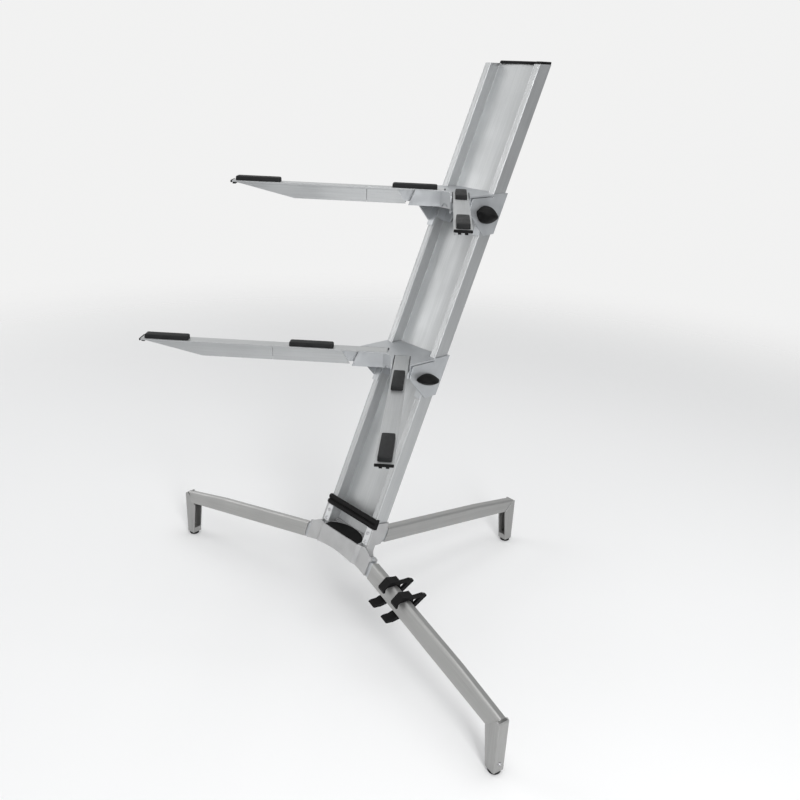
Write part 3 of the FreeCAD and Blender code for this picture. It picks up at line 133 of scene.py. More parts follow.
# ---------------------------------------------------------------- node groups
class GroupBuilder:
    """Builds one shader node group with named sockets."""

    def __init__(self, name: str, inputs: dict[str, tuple[str, object]], outputs: dict[str, str]) -> None:
        """Makes the empty group.

        Args:
            name: The group's name.
            inputs: Socket name to its socket type and default value.
            outputs: Socket name to its socket type.
        """
        self.tree: bpy.types.ShaderNodeTree = bpy.data.node_groups.new(name, "ShaderNodeTree")
        for socket, (kind, value) in inputs.items():
            made = self.tree.interface.new_socket(name=socket, in_out="INPUT", socket_type=kind)
            if value is not None:
                made.default_value = value
        for socket, kind in outputs.items():
            self.tree.interface.new_socket(name=socket, in_out="OUTPUT", socket_type=kind)
        self.entry = self.tree.nodes.new("NodeGroupInput")
        self.exit = self.tree.nodes.new("NodeGroupOutput")

    def add(self, kind: str, **settings: object) -> bpy.types.Node:
        """Adds a node and sets its properties.

        Args:
            kind: The node's type.
            settings: Its properties by name.

        Returns:
            The node.
        """
        node = self.tree.nodes.new(kind)
        for key, value in settings.items():
            setattr(node, key, value)
        return node

    def link(self, source: bpy.types.NodeSocket, target: bpy.types.NodeSocket) -> None:
        """Joins two sockets."""
        self.tree.links.new(source, target)

    def math(self, operation: str, a: object, b: object = None, clamp: bool = False) -> bpy.types.NodeSocket:
        """Adds a Math node.

        Args:
            operation: The node's operation.
            a: First value or socket.
            b: Second value or socket.
            clamp: Keeps the result between 0 and 1.

        Returns:
            The node's output socket.
        """
        node = self.add("ShaderNodeMath", operation=operation, use_clamp=clamp)
        for index, value in enumerate((a, b)):
            if isinstance(value, bpy.types.NodeSocket):
                self.link(value, node.inputs[index])
            elif value is not None:
                node.inputs[index].default_value = float(value)
        return node.outputs[0]


class SharedEffects:
    """The surface effects that more than one finish uses."""

    def __init__(self) -> None:
        """Builds every group once."""
        self.grain = self._drawn_grain()
        self.wear = self._edge_wear()
        self.stipple = self._stipple()
        self.dust = self._settled_dust()

    @staticmethod
    def _drawn_grain() -> bpy.types.ShaderNodeTree:
        """Builds the fine lines that run along a drawn and brushed profile.

        Returns:
            The group: Vector (grain along X), Fineness and Stretch in; Lines, Mottle and Height out.
        """
        group = GroupBuilder(
            "Drawn grain",
            {"Vector": ("NodeSocketVector", None), "Fineness": ("NodeSocketFloat", 900.0),
             "Stretch": ("NodeSocketFloat", 0.012)},
            {"Lines": "NodeSocketFloat", "Mottle": "NodeSocketFloat", "Height": "NodeSocketFloat"},
        )
        split = group.add("ShaderNodeSeparateXYZ")
        group.link(group.entry.outputs["Vector"], split.inputs[0])
        along = group.math("MULTIPLY", split.outputs[0], group.entry.outputs["Stretch"])
        join = group.add("ShaderNodeCombineXYZ")
        group.link(along, join.inputs[0])
        group.link(split.outputs[1], join.inputs[1])
        group.link(split.outputs[2], join.inputs[2])
        fine = group.add("ShaderNodeTexNoise")
        group.link(join.outputs[0], fine.inputs["Vector"])
        group.link(group.entry.outputs["Fineness"], fine.inputs["Scale"])
        fine.inputs["Detail"].default_value = 4.0
        broad = group.add("ShaderNodeTexNoise")
        group.link(join.outputs[0], broad.inputs["Vector"])
        broad.inputs["Scale"].default_value = 90.0
        broad.inputs["Detail"].default_value = 2.0
        cloud = group.add("ShaderNodeTexNoise")
        group.link(group.entry.outputs["Vector"], cloud.inputs["Vector"])
        cloud.inputs["Scale"].default_value = 14.0
        cloud.inputs["Detail"].default_value = 3.0
        mixed = group.math("ADD", group.math("MULTIPLY", fine.outputs[0], 0.65),
                           group.math("MULTIPLY", broad.outputs[0], 0.35))
        group.link(mixed, group.exit.inputs["Lines"])
        group.link(cloud.outputs[0], group.exit.inputs["Mottle"])
        group.link(fine.outputs[0], group.exit.inputs["Height"])
        return group.tree

    @staticmethod
    def _edge_wear() -> bpy.types.ShaderNodeTree:
        """Builds the mask of rubbed edges and the softened normal.

        Returns:
            The group: Vector and Amount in; Mask and Normal out.
        """
        group = GroupBuilder(
            "Edge wear",
            {"Vector": ("NodeSocketVector", None), "Amount": ("NodeSocketFloat", 0.5)},
            {"Mask": "NodeSocketFloat", "Normal": "NodeSocketVector"},
        )
        bevel = group.add("ShaderNodeBevel", samples=6)
        bevel.inputs["Radius"].default_value = 0.0007
        shape = group.add("ShaderNodeNewGeometry")
        dot = group.add("ShaderNodeVectorMath", operation="DOT_PRODUCT")
        group.link(bevel.outputs[0], dot.inputs[0])
        group.link(shape.outputs["Normal"], dot.inputs[1])
        turned = group.math("SUBTRACT", 1.0, dot.outputs["Value"])
        sharp = group.math("MULTIPLY", turned, 4.5, clamp=True)
        patch = group.add("ShaderNodeTexNoise")
        group.link(group.entry.outputs["Vector"], patch.inputs["Vector"])
        patch.inputs["Scale"].default_value = 160.0
        patch.inputs["Detail"].default_value = 5.0
        broken = group.math("SMOOTH_MIN", 1.0, group.math("MULTIPLY", patch.outputs[0], 1.7))
        patchy = group.math("MULTIPLY", sharp, broken)
        worn = group.math("MULTIPLY", patchy, group.entry.outputs["Amount"], clamp=True)
        group.link(worn, group.exit.inputs["Mask"])
        group.link(bevel.outputs[0], group.exit.inputs["Normal"])
        return group.tree

    @staticmethod
    def _stipple() -> bpy.types.ShaderNodeTree:
        """Builds the fine pitted skin of moulded rubber, plastic and sand castings.

        Returns:
            The group: Vector and Scale in; Pits and Tone out.
        """
        group = GroupBuilder(
            "Moulded stipple",
            {"Vector": ("NodeSocketVector", None), "Scale": ("NodeSocketFloat", 1400.0)},
            {"Pits": "NodeSocketFloat", "Tone": "NodeSocketFloat"},
        )
        cells = group.add("ShaderNodeTexVoronoi", feature="SMOOTH_F1")
        group.link(group.entry.outputs["Vector"], cells.inputs["Vector"])
        group.link(group.entry.outputs["Scale"], cells.inputs["Scale"])
        tone = group.add("ShaderNodeTexNoise")
        group.link(group.entry.outputs["Vector"], tone.inputs["Vector"])
        tone.inputs["Scale"].default_value = 45.0
        tone.inputs["Detail"].default_value = 4.0
        group.link(cells.outputs["Distance"], group.exit.inputs["Pits"])
        group.link(tone.outputs[0], group.exit.inputs["Tone"])
        return group.tree

    @staticmethod
    def _settled_dust() -> bpy.types.ShaderNodeTree:
        """Builds the faint dust that lies on faces that look up.

        Returns:
            The group: Vector and Amount in; Mask out.
        """
        group = GroupBuilder(
            "Settled dust",
            {"Vector": ("NodeSocketVector", None), "Amount": ("NodeSocketFloat", 0.15)},
            {"Mask": "NodeSocketFloat"},
        )
        shape = group.add("ShaderNodeNewGeometry")
        split = group.add("ShaderNodeSeparateXYZ")
        group.link(shape.outputs["Normal"], split.inputs[0])
        upward = group.math("MULTIPLY", split.outputs[2], 1.0, clamp=True)
        patch = group.add("ShaderNodeTexNoise")
        group.link(group.entry.outputs["Vector"], patch.inputs["Vector"])
        patch.inputs["Scale"].default_value = 60.0
        patch.inputs["Detail"].default_value = 6.0
        specks = group.math("POWER", patch.outputs[0], 2.0)
        mask = group.math("MULTIPLY", group.math("MULTIPLY", upward, specks),
                          group.entry.outputs["Amount"], clamp=True)
        group.link(mask, group.exit.inputs["Mask"])
        return group.tree


# ---------------------------------------------------------------- finishes
Colour = tuple[float, float, float]

PALE_DUST: Colour = (0.66, 0.65, 0.63)
GREY_DUST: Colour = (0.23, 0.22, 0.21)
NOISE_MIDDLE: tuple[float, float] = (0.35, 0.65)
BUMP_STRENGTH: float = 0.6


class Finish:
    """What every finish shares: a Principled material, weathering and their helpers."""

    name: str
    worn: Colour
    dust: Colour = PALE_DUST
    rubbing: float
    dusting: float
    roughness: float
    roughness_spread: tuple[float, float]

    def start(self) -> tuple[bpy.types.Material, bpy.types.Node]:
        """Makes the material.

        Returns:
            The material and its Principled node.
        """
        material = bpy.data.materials.new(self.name)
        material.use_nodes = True
        return material, material.node_tree.nodes["Principled BSDF"]

    @staticmethod
    def group(material: bpy.types.Material, tree: bpy.types.ShaderNodeTree,
              vector: bpy.types.NodeSocket) -> bpy.types.Node:
        """Places a shared group and feeds it a position.

        Args:
            material: The material that gets the node.
            tree: The group.
            vector: The position.

        Returns:
            The group node.
        """
        node = material.node_tree.nodes.new("ShaderNodeGroup")
        node.node_tree = tree
        material.node_tree.links.new(vector, node.inputs["Vector"])
        return node

    @staticmethod
    def position(material: bpy.types.Material) -> bpy.types.NodeSocket:
        """Gives the surface position in the stand's own frame."""
        return material.node_tree.nodes.new("ShaderNodeTexCoord").outputs["Object"]

    @staticmethod
    def blend(material: bpy.types.Material, factor: bpy.types.NodeSocket, a: object, b: object,
              kind: str = "RGBA") -> bpy.types.NodeSocket:
        """Mixes two colours or numbers by a mask.

        Args:
            material: The material that gets the node.
            factor: The mask.
            a: Value or socket at 0.
            b: Value or socket at 1.
            kind: RGBA for colours, FLOAT for numbers.

        Returns:
            The mixed socket.
        """
        node = material.node_tree.nodes.new("ShaderNodeMix")
        node.data_type = kind
        first, second, out = (6, 7, 2) if kind == "RGBA" else (2, 3, 0)
        material.node_tree.links.new(factor, node.inputs[0])
        for index, value in ((first, a), (second, b)):
            if isinstance(value, bpy.types.NodeSocket):
                material.node_tree.links.new(value, node.inputs[index])
            elif kind == "RGBA":
                node.inputs[index].default_value = (*value, 1.0)
            else:
                node.inputs[index].default_value = float(value)
        return node.outputs[out]

    @staticmethod
    def spread(material: bpy.types.Material, source: bpy.types.NodeSocket, low: float = 0.0,
               high: float = 1.0) -> bpy.types.NodeSocket:
        """Maps the middle of a noise's values onto a range.

        Args:
            material: The material that gets the node.
            source: The noise.
            low: The range's lower end.
            high: The range's upper end.

        Returns:
            The mapped socket.
        """
        node = material.node_tree.nodes.new("ShaderNodeMapRange")
        material.node_tree.links.new(source, node.inputs["Value"])
        ends = zip(("From Min", "From Max", "To Min", "To Max"), (*NOISE_MIDDLE, low, high))
        for socket, value in ends:
            node.inputs[socket].default_value = value
        return node.outputs["Result"]

    def stipple(self, material: bpy.types.Material, effects: SharedEffects, scale: float) -> bpy.types.Node:
        """Places the moulded stipple.

        Args:
            material: The material that gets the node.
            effects: The shared groups.
            scale: The pits' scale.

        Returns:
            The group node.
        """
        skin = self.group(material, effects.stipple, self.position(material))
        skin.inputs["Scale"].default_value = scale
        return skin

    def weather(self, material: bpy.types.Material, shader: bpy.types.Node, effects: SharedEffects,
                body: bpy.types.NodeSocket) -> bpy.types.Node:
        """Rubs the edges, lays dust on what looks up and feeds the colour to the shader.

        Args:
            material: The material that gets the nodes.
            shader: Its Principled node.
            effects: The shared groups.
            body: The colour before any wear.

        Returns:
            The edge wear node, for its mask and normal.
        """
        place = self.position(material)
        wear = self.group(material, effects.wear, place)
        wear.inputs["Amount"].default_value = self.rubbing
        colour = self.blend(material, wear.outputs["Mask"], body, self.worn)
        if self.dusting:
            dust = self.group(material, effects.dust, place)
            dust.inputs["Amount"].default_value = self.dusting
            colour = self.blend(material, dust.outputs["Mask"], colour, self.dust)
        material.node_tree.links.new(colour, shader.inputs["Base Color"])
        return wear

    def mottle(self, material: bpy.types.Material, source: bpy.types.NodeSocket) -> bpy.types.NodeSocket:
        """Gives the finish's roughness, varied by a noise."""
        less, more = self.roughness_spread
        return self.spread(material, source, self.roughness + less, self.roughness + more)

    @staticmethod
    def relief(material: bpy.types.Material, shader: bpy.types.Node, height: bpy.types.NodeSocket,
               depth: float, normal: bpy.types.NodeSocket) -> None:
        """Feeds a height into the shader's normal through a Bump node.

        Args:
            material: The material that gets the node.
            shader: Its Principled node.
            height: The height.
            depth: What a height of 1 stands for, in metres.
            normal: The normal that the relief sits on.
        """
        bump = material.node_tree.nodes.new("ShaderNodeBump")
        bump.inputs["Distance"].default_value = depth
        bump.inputs["Strength"].default_value = BUMP_STRENGTH
        material.node_tree.links.new(height, bump.inputs["Height"])
        material.node_tree.links.new(normal, bump.inputs["Normal"])
        material.node_tree.links.new(bump.outputs[0], shader.inputs["Normal"])


@dataclass(frozen=True)
class SatinAluminium(Finish):
    """Satin anodised profile with drawn grain along its length."""

    name: str
    run: Direction
    tone: Colour = (0.50, 0.51, 0.515)
    deep: Colour = (0.43, 0.44, 0.445)
    worn: Colour = (0.70, 0.71, 0.72)
    roughness: float = 0.45
    roughness_spread: tuple[float, float] = (-0.05, 0.07)
    rubbed_roughness: float = 0.24
    metallic: float = 0.85
    rubbing: float = 0.5
    dusting: float = 0.12
    grain_depth: float = 0.04 * MM

    def build(self, effects: SharedEffects) -> bpy.types.Material:
        """Builds the material.

        Args:
            effects: The shared groups.

        Returns:
            The material.
        """
        material, shader = self.start()
        links = material.node_tree.links
        turn = material.node_tree.nodes.new("ShaderNodeMapping")
        turn.vector_type = "POINT"
        spin = self.run.vector().to_track_quat("X", "Z").inverted().to_euler()
        turn.inputs["Rotation"].default_value = spin
        links.new(self.position(material), turn.inputs["Vector"])
        grain = self.group(material, effects.grain, turn.outputs[0])
        body = self.blend(material, self.spread(material, grain.outputs["Lines"]), self.deep, self.tone)
        wear = self.weather(material, shader, effects, body)
        rough = self.mottle(material, grain.outputs["Mottle"])
        polished = self.blend(material, wear.outputs["Mask"], rough, self.rubbed_roughness, "FLOAT")
        links.new(polished, shader.inputs["Roughness"])
        shader.inputs["Metallic"].default_value = self.metallic
        self.relief(material, shader, grain.outputs["Height"], self.grain_depth, wear.outputs["Normal"])
        return material


@dataclass(frozen=True)
class CastAluminium(Finish):
    """Satin lacquered casting with a faint sandy skin."""

    name: str
    tone: Colour = (0.49, 0.505, 0.52)
    deep: Colour = (0.44, 0.455, 0.47)
    worn: Colour = (0.68, 0.69, 0.70)
    roughness: float = 0.42
    roughness_spread: tuple[float, float] = (-0.05, 0.08)
    rubbed_roughness: float = 0.28
    metallic: float = 0.75
    rubbing: float = 0.6
    dusting: float = 0.14
    sand: float = 900.0
    sand_depth: float = 0.05 * MM

    def build(self, effects: SharedEffects) -> bpy.types.Material:
        """Builds the material.

        Args:
            effects: The shared groups.

        Returns:
            The material.
        """
        material, shader = self.start()
        skin = self.stipple(material, effects, self.sand)
        body = self.blend(material, self.spread(material, skin.outputs["Tone"]), self.deep, self.tone)
        wear = self.weather(material, shader, effects, body)
        rough = self.mottle(material, skin.outputs["Tone"])
        polished = self.blend(material, wear.outputs["Mask"], rough, self.rubbed_roughness, "FLOAT")
        material.node_tree.links.new(polished, shader.inputs["Roughness"])
        shader.inputs["Metallic"].default_value = self.metallic
        self.relief(material, shader, skin.outputs["Pits"], self.sand_depth, wear.outputs["Normal"])
        return material


@dataclass(frozen=True)
class MouldedBlack(Finish):
    """Black rubber or plastic with a fine moulded skin and paler edges."""

    name: str
    tone: Colour = (0.008, 0.0085, 0.009)
    pale: Colour = (0.014, 0.0145, 0.015)
    worn: Colour = (0.05, 0.05, 0.052)
    dust: Colour = GREY_DUST
    roughness: float = 0.55
    roughness_spread: tuple[float, float] = (-0.06, 0.10)
    rubbing: float = 0.4
    dusting: float = 0.05
    pitting: float = 1400.0
    pit_depth: float = 0.12 * MM
    sheen_level: float = 0.3

    def build(self, effects: SharedEffects) -> bpy.types.Material:
        """Builds the material.

        Args:
            effects: The shared groups.

        Returns:
            The material.
        """
        material, shader = self.start()
        skin = self.stipple(material, effects, self.pitting)
        body = self.blend(material, self.spread(material, skin.outputs["Tone"]), self.tone, self.pale)
        wear = self.weather(material, shader, effects, body)
        rough = self.mottle(material, skin.outputs["Tone"])
        material.node_tree.links.new(rough, shader.inputs["Roughness"])
        shader.inputs["Specular IOR Level"].default_value = self.sheen_level
        self.relief(material, shader, skin.outputs["Pits"], self.pit_depth, wear.outputs["Normal"])
        return material


@dataclass(frozen=True)
class TurnedSteel(Finish):
    """Zinc-bright steel of the screws, pins, bolts and nuts."""

    name: str
    tone: Colour = (0.55, 0.55, 0.56)
    stain: Colour = (0.38, 0.38, 0.40)
    worn: Colour = (0.8, 0.8, 0.81)
    roughness: float = 0.31
    roughness_spread: tuple[float, float] = (-0.07, 0.07)
    rubbing: float = 0.5
    dusting: float = 0.0
    turning: float = 2600.0
    turning_depth: float = 0.03 * MM

    def build(self, effects: SharedEffects) -> bpy.types.Material:
        """Builds the material.

        Args:
            effects: The shared groups.

        Returns:
            The material.
        """
        material, shader = self.start()
        skin = self.stipple(material, effects, self.turning)
        body = self.blend(material, self.spread(material, skin.outputs["Tone"]), self.stain, self.tone)
        wear = self.weather(material, shader, effects, body)
        rough = self.mottle(material, skin.outputs["Tone"])
        material.node_tree.links.new(rough, shader.inputs["Roughness"])
        shader.inputs["Metallic"].default_value = 1.0
        self.relief(material, shader, skin.outputs["Pits"], self.turning_depth, wear.outputs["Normal"])
        return material


@dataclass
class FinishBook:
    """Every finish of the stand, each built once."""

    effects: SharedEffects
    built: dict[str, bpy.types.Material] = field(default_factory=dict)

    def get(self, finish: Finish) -> bpy.types.Material:
        """Gives a finish's material, building it at its first use.

        Args:
            finish: The finish.

        Returns:
            Its material.
        """
        if finish.name not in self.built:
            self.built[finish.name] = finish.build(self.effects)
        return self.built[finish.name]

    def profile(self, run: Direction) -> bpy.types.Material:
        """Gives the anodised finish with its grain along a run."""
        return self.get(SatinAluminium("Anodised " + run.value, run))

    def leg_profile(self, run: Direction) -> bpy.types.Material:
        """Gives the duller anodised finish of the legs, with its grain along a run."""
        return self.get(SatinAluminium("Dull anodised " + run.value, run, tone=(0.40, 0.40, 0.395),
                                       deep=(0.34, 0.34, 0.335), roughness=0.46))


CASTING: CastAluminium = CastAluminium("Lacquered casting")
HUB_CASTING: CastAluminium = CastAluminium("Hub casting", tone=(0.45, 0.452, 0.455),
                                           deep=(0.40, 0.402, 0.405))
RUBBER: MouldedBlack = MouldedBlack("Pad rubber", roughness=0.62, sheen_level=0.22, dusting=0.03)
PLASTIC: MouldedBlack = MouldedBlack("Trim plastic", tone=(0.002, 0.002, 0.0022),
                                     pale=(0.004, 0.004, 0.0042), worn=(0.02, 0.02, 0.021),
                                     roughness=0.5, pitting=1900.0, sheen_level=0.12, dusting=0.02)
PLATE: CastAluminium = CastAluminium("Polished plate", tone=(0.66, 0.67, 0.68), deep=(0.60, 0.61, 0.62),
                                     roughness=0.3)
STEEL: TurnedSteel = TurnedSteel("Bright steel")


# ---------------------------------------------------------------- mesh making
Ring = list[Vector]
Outline = list[tuple[float, float]]


@dataclass(frozen=True)
class LocalFrame:
    """A frame fixed to a sub-assembly: its origin and two of its axes."""

    origin: Vector
    x: Vector
    z: Vector

    def matrix(self) -> Matrix:
        """Gives the transform from this frame to the stand's frame.

        Returns:
            The transform.
        """
        along = self.x.normalized()
        across = self.z.cross(along).normalized()
        axes = Matrix((along, across, along.cross(across))).transposed().to_4x4()
        return Matrix.Translation(self.origin) @ axes

    def extent(self, node: bpy.types.Object) -> tuple[Vector, Vector]:
        """Measures a solid along this frame's axes.

        Args:
            node: The solid.

        Returns:
            Its lowest and highest corner in this frame.
        """
        inverse = self.matrix().inverted()
        points = [inverse @ vertex.co for vertex in node.data.vertices]
        low = Vector([min(point[axis] for point in points) for axis in range(3)])
        high = Vector([max(point[axis] for point in points) for axis in range(3)])
        return low, high


class MeshMaker:
    """Builds one mesh from stacks of closed rings, extruded outlines and copies of solids."""

    def __init__(self, name: str) -> None:
        """Starts an empty mesh."""
        self.name = name
        self.mesh = bmesh.new()

    def stack(self, rings: list[Ring]) -> None:
        """Skins a stack of rings with equal numbers of points and closes both ends.

        Args:
            rings: The rings, in order, each counter-clockwise seen from the last.
        """
        loops = [[self.mesh.verts.new(point) for point in ring] for ring in rings]
        count = len(loops[0])
        for below, above in zip(loops, loops[1:]):
            for index in range(count):
                after = (index + 1) % count
                self.mesh.faces.new((below[index], below[after], above[after], above[index]))
        self.mesh.faces.new(list(reversed(loops[0])))
        self.mesh.faces.new(loops[-1])

    def prism(self, outlines: list[Ring], run: Vector) -> None:
        """Extrudes a flat outline with holes.

        Args:
            outlines: The outer outline, then the holes.
            run: The extrusion.
        """
        edges = []
        for outline in outlines:
            loop = [self.mesh.verts.new(point) for point in outline]
            edges += [self.mesh.edges.new((a, b)) for a, b in zip(loop, loop[1:] + loop[:1])]
        filled = bmesh.ops.triangle_fill(self.mesh, use_beauty=True, edges=edges)
        faces = [item for item in filled["geom"] if isinstance(item, bmesh.types.BMFace)]
        raised = bmesh.ops.extrude_face_region(self.mesh, geom=faces, use_keep_orig=True)
        moved = [item for item in raised["geom"] if isinstance(item, bmesh.types.BMVert)]
        bmesh.ops.translate(self.mesh, vec=run, verts=moved)

    def copy(self, node: bpy.types.Object) -> None:
        """Takes over a solid's mesh, with its doubled vertices joined."""
        self.mesh.from_mesh(node.data)
        bmesh.ops.remove_doubles(self.mesh, verts=self.mesh.verts, dist=0.002 * MM)

    def make(self, frame: LocalFrame, smooth: float = 32.0) -> bpy.types.Object:
        """Turns the mesh into an object in the stand's frame.

        Args:
            frame: The frame that the rings were given in.
            smooth: Angle in degrees up to which neighbouring faces shade as one.

        Returns:
            The object.
        """
        bmesh.ops.recalc_face_normals(self.mesh, faces=self.mesh.faces)
        data = bpy.data.meshes.new(self.name)
        self.mesh.to_mesh(data)
        self.mesh.free()
        data.transform(frame.matrix())
        data.shade_smooth()
        data.set_sharp_from_angle(angle=math.radians(smooth))
        piece = bpy.data.objects.new(self.name, data)
        bpy.context.collection.objects.link(piece)
        return piece


STAND_FRAME: LocalFrame = LocalFrame(Vector((0, 0, 0)), Vector((1, 0, 0)), Vector((0, 0, 1)))


def round_ring(radius: float, height: float, count: int = 32) -> Ring:
    """Gives a circle about Z at a height."""
    turns = [2 * math.pi * index / count for index in range(count)]
    return [Vector((radius * math.cos(turn), radius * math.sin(turn), height)) for turn in turns]


def hexagon_ring(apothem: float, height: float, count: int = 24) -> Ring:
    """Gives a hexagon about Z at a height, with points along its sides.

    Args:
        apothem: From its centre to the middle of a side.
        height: Its height.
        count: Number of points, a multiple of six.

    Returns:
        The ring.
    """
    ring = []
    for index in range(count):
        turn = 2 * math.pi * index / count
        from_side = turn % (math.pi / 3) - math.pi / 6
        reach = apothem / math.cos(from_side)
        ring.append(Vector((reach * math.cos(turn), reach * math.sin(turn), height)))
    return ring


def rounded_outline(half_x: float, half_y: float, radius: float, steps: int = 6) -> Outline:
    """Gives a rectangle with round corners.

    Args:
        half_x: Half its length.
        half_y: Half its width.
        radius: Corner radius.
        steps: Divisions of each corner.

    Returns:
        Its points, counter-clockwise.
    """
    points = []
    for quarter, (side_x, side_y) in enumerate(((1, 1), (-1, 1), (-1, -1), (1, -1))):
        centre_x = side_x * (half_x - radius)
        centre_y = side_y * (half_y - radius)
        for step in range(steps + 1):
            turn = math.pi / 2 * (quarter + step / steps)
            points.append((centre_x + radius * math.cos(turn), centre_y + radius * math.sin(turn)))
    return points


# ---------------------------------------------------------------- sub-assemblies
@dataclass
class SubAssembly:
    """A set of pieces that are dressed together."""

    frame: dict
    finishes: FinishBook

    def dress(self, node: str, material: bpy.types.Material) -> None:
        """Gives a solid its finish.

        Args:
            node: The solid's name.
            material: Its finish.
        """
        piece = self.frame["nodes"][node]
        piece.data.materials.clear()
        piece.data.materials.append(material)
        log.info("dressed %s with %s", node, material.name)

    def hand_over(self, piece: bpy.types.Object, node: str, material: bpy.types.Material, slot: str) -> None:
        """Puts a detailed piece in the place of a solid.

        Args:
            piece: The detailed piece.
            node: The solid that it stands for.
            material: The piece's finish.
            slot: The record's material slot; not used.
        """
        piece.data.materials.append(material)
        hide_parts(node)
        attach(piece, self.frame["nodes"][node]["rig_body"])
        log.info("made %s, %d faces", piece.name, len(piece.data.polygons))


@dataclass
class SocketScrew:
    """A round-headed screw with a hexagon socket, pointing down its frame's Z."""

    head: float = 3.6 * MM
    shank: float = 2.25 * MM
    rise: float = 1.4 * MM
    length: float = 9.0 * MM
    socket: float = 1.7 * MM
    socket_depth: float = 1.1 * MM
    edge: float = 0.35 * MM
    dome: float = 0.45
    shoulder: float = 0.8
    sides: int = 24

    def build(self, maker: MeshMaker, at: Vector) -> None:
        """Adds the screw to a mesh.

        Args:
            maker: The mesh.
            at: Middle of the head's underside; the head rises along +Z.
        """
        count = self.sides
        rings = [round_ring(self.shank, -self.length, count), round_ring(self.shank, 0.0, count),
                 round_ring(self.head, 0.0, count), round_ring(self.head, self.rise * self.dome, count),
                 round_ring(self.head - self.edge, self.rise * self.shoulder, count),
                 round_ring(self.socket + self.edge, self.rise, count),
                 hexagon_ring(self.socket, self.rise - 0.1 * MM, count),
                 hexagon_ring(self.socket, self.rise - self.socket_depth, count)]
        maker.stack([[point + at for point in ring] for ring in rings])


@dataclass
class Column(SubAssembly):
    """The leaning profile, cut level at its top, and its end trims."""

    end_band: float = 1.0 * MM
    trim_lowered: float = 1.2 * MM

    def levelled(self, node: str, name: str, from_along: float, lowered: float) -> bpy.types.Object:
        """Copies a solid and slides its upper end up the column until that end is level.

        Args:
            node: The solid's name.
            name: The new piece's name.
            from_along: Only what lies beyond this, along the column, slides.
            lowered: The very top comes down by this.

        Returns:
            The piece.
        """
        up = Direction.COLUMN.vector()
        back = Vector((0.0, math.cos(LEAN), -math.sin(LEAN)))
        front = min(vertex.co.dot(back) for vertex in self.frame["nodes"]["column"].data.vertices)
        maker = MeshMaker(name)
        maker.copy(self.frame["nodes"][node])
        top = max(vertex.co.dot(up) for vertex in maker.mesh.verts)
        for vertex in maker.mesh.verts:
            along = vertex.co.dot(up)
            if along < from_along:
                continue
            slide = (vertex.co.dot(back) - front) * math.tan(LEAN)
            if top - along < 2 * self.end_band:
                slide -= lowered
            vertex.co += up * slide
        return maker.make(STAND_FRAME, 30.0)

    def build(self) -> None:
        """Makes the levelled profile and trims."""
        up = Direction.COLUMN.vector()
        end = max(vertex.co.dot(up) for vertex in self.frame["nodes"]["column"].data.vertices)
        profile = self.levelled("column", "column_profile", end - self.end_band, 0.0)
        self.hand_over(profile, "column", self.finishes.profile(Direction.COLUMN), "aluminium")
        for node, name in (("web_cap", "web_end_trim"), ("side_cap_right", "flange_end_trim")):
            trim = self.levelled(node, name, 0.0, self.trim_lowered)
            self.hand_over(trim, node, self.finishes.get(PLASTIC), "black_plastic")


@dataclass
class Base(SubAssembly):
    """The hub with its cover, bar, plates, screws and pins."""

    screw: SocketScrew = field(default_factory=SocketScrew)

    def plate_screws(self) -> bpy.types.Object:
        """Builds the four screws of the fixing plates, heads on the plates.

        Returns:
            The screws, as one piece.
        """
        out = Vector((0.0, -math.cos(LEAN), math.sin(LEAN)))
        frame = LocalFrame(Vector((0.0, 0.0, 0.0)), Vector((1.0, 0.0, 0.0)), out)
        low, high = frame.extent(self.frame["nodes"]["plate_screws"])
        maker = MeshMaker("socket_screws")
        under = high.z - self.screw.rise
        for side in (low.x + self.screw.head, high.x - self.screw.head):
            for along in (low.y + self.screw.head, high.y - self.screw.head):
                self.screw.build(maker, Vector((side, along, under)))
        return maker.make(frame)

    def build(self) -> None:
        """Dresses the base's pieces and makes its screws."""
        self.dress("base_hub", self.finishes.get(HUB_CASTING))
        self.dress("fixing_plates", self.finishes.get(PLATE))
        for node in ("hub_cover", "base_bar"):
            self.dress(node, self.finishes.get(PLASTIC))
        self.dress("hinge_pins", self.finishes.get(STEEL))
        self.hand_over(self.plate_screws(), "plate_screws", self.finishes.get(STEEL), "steel")


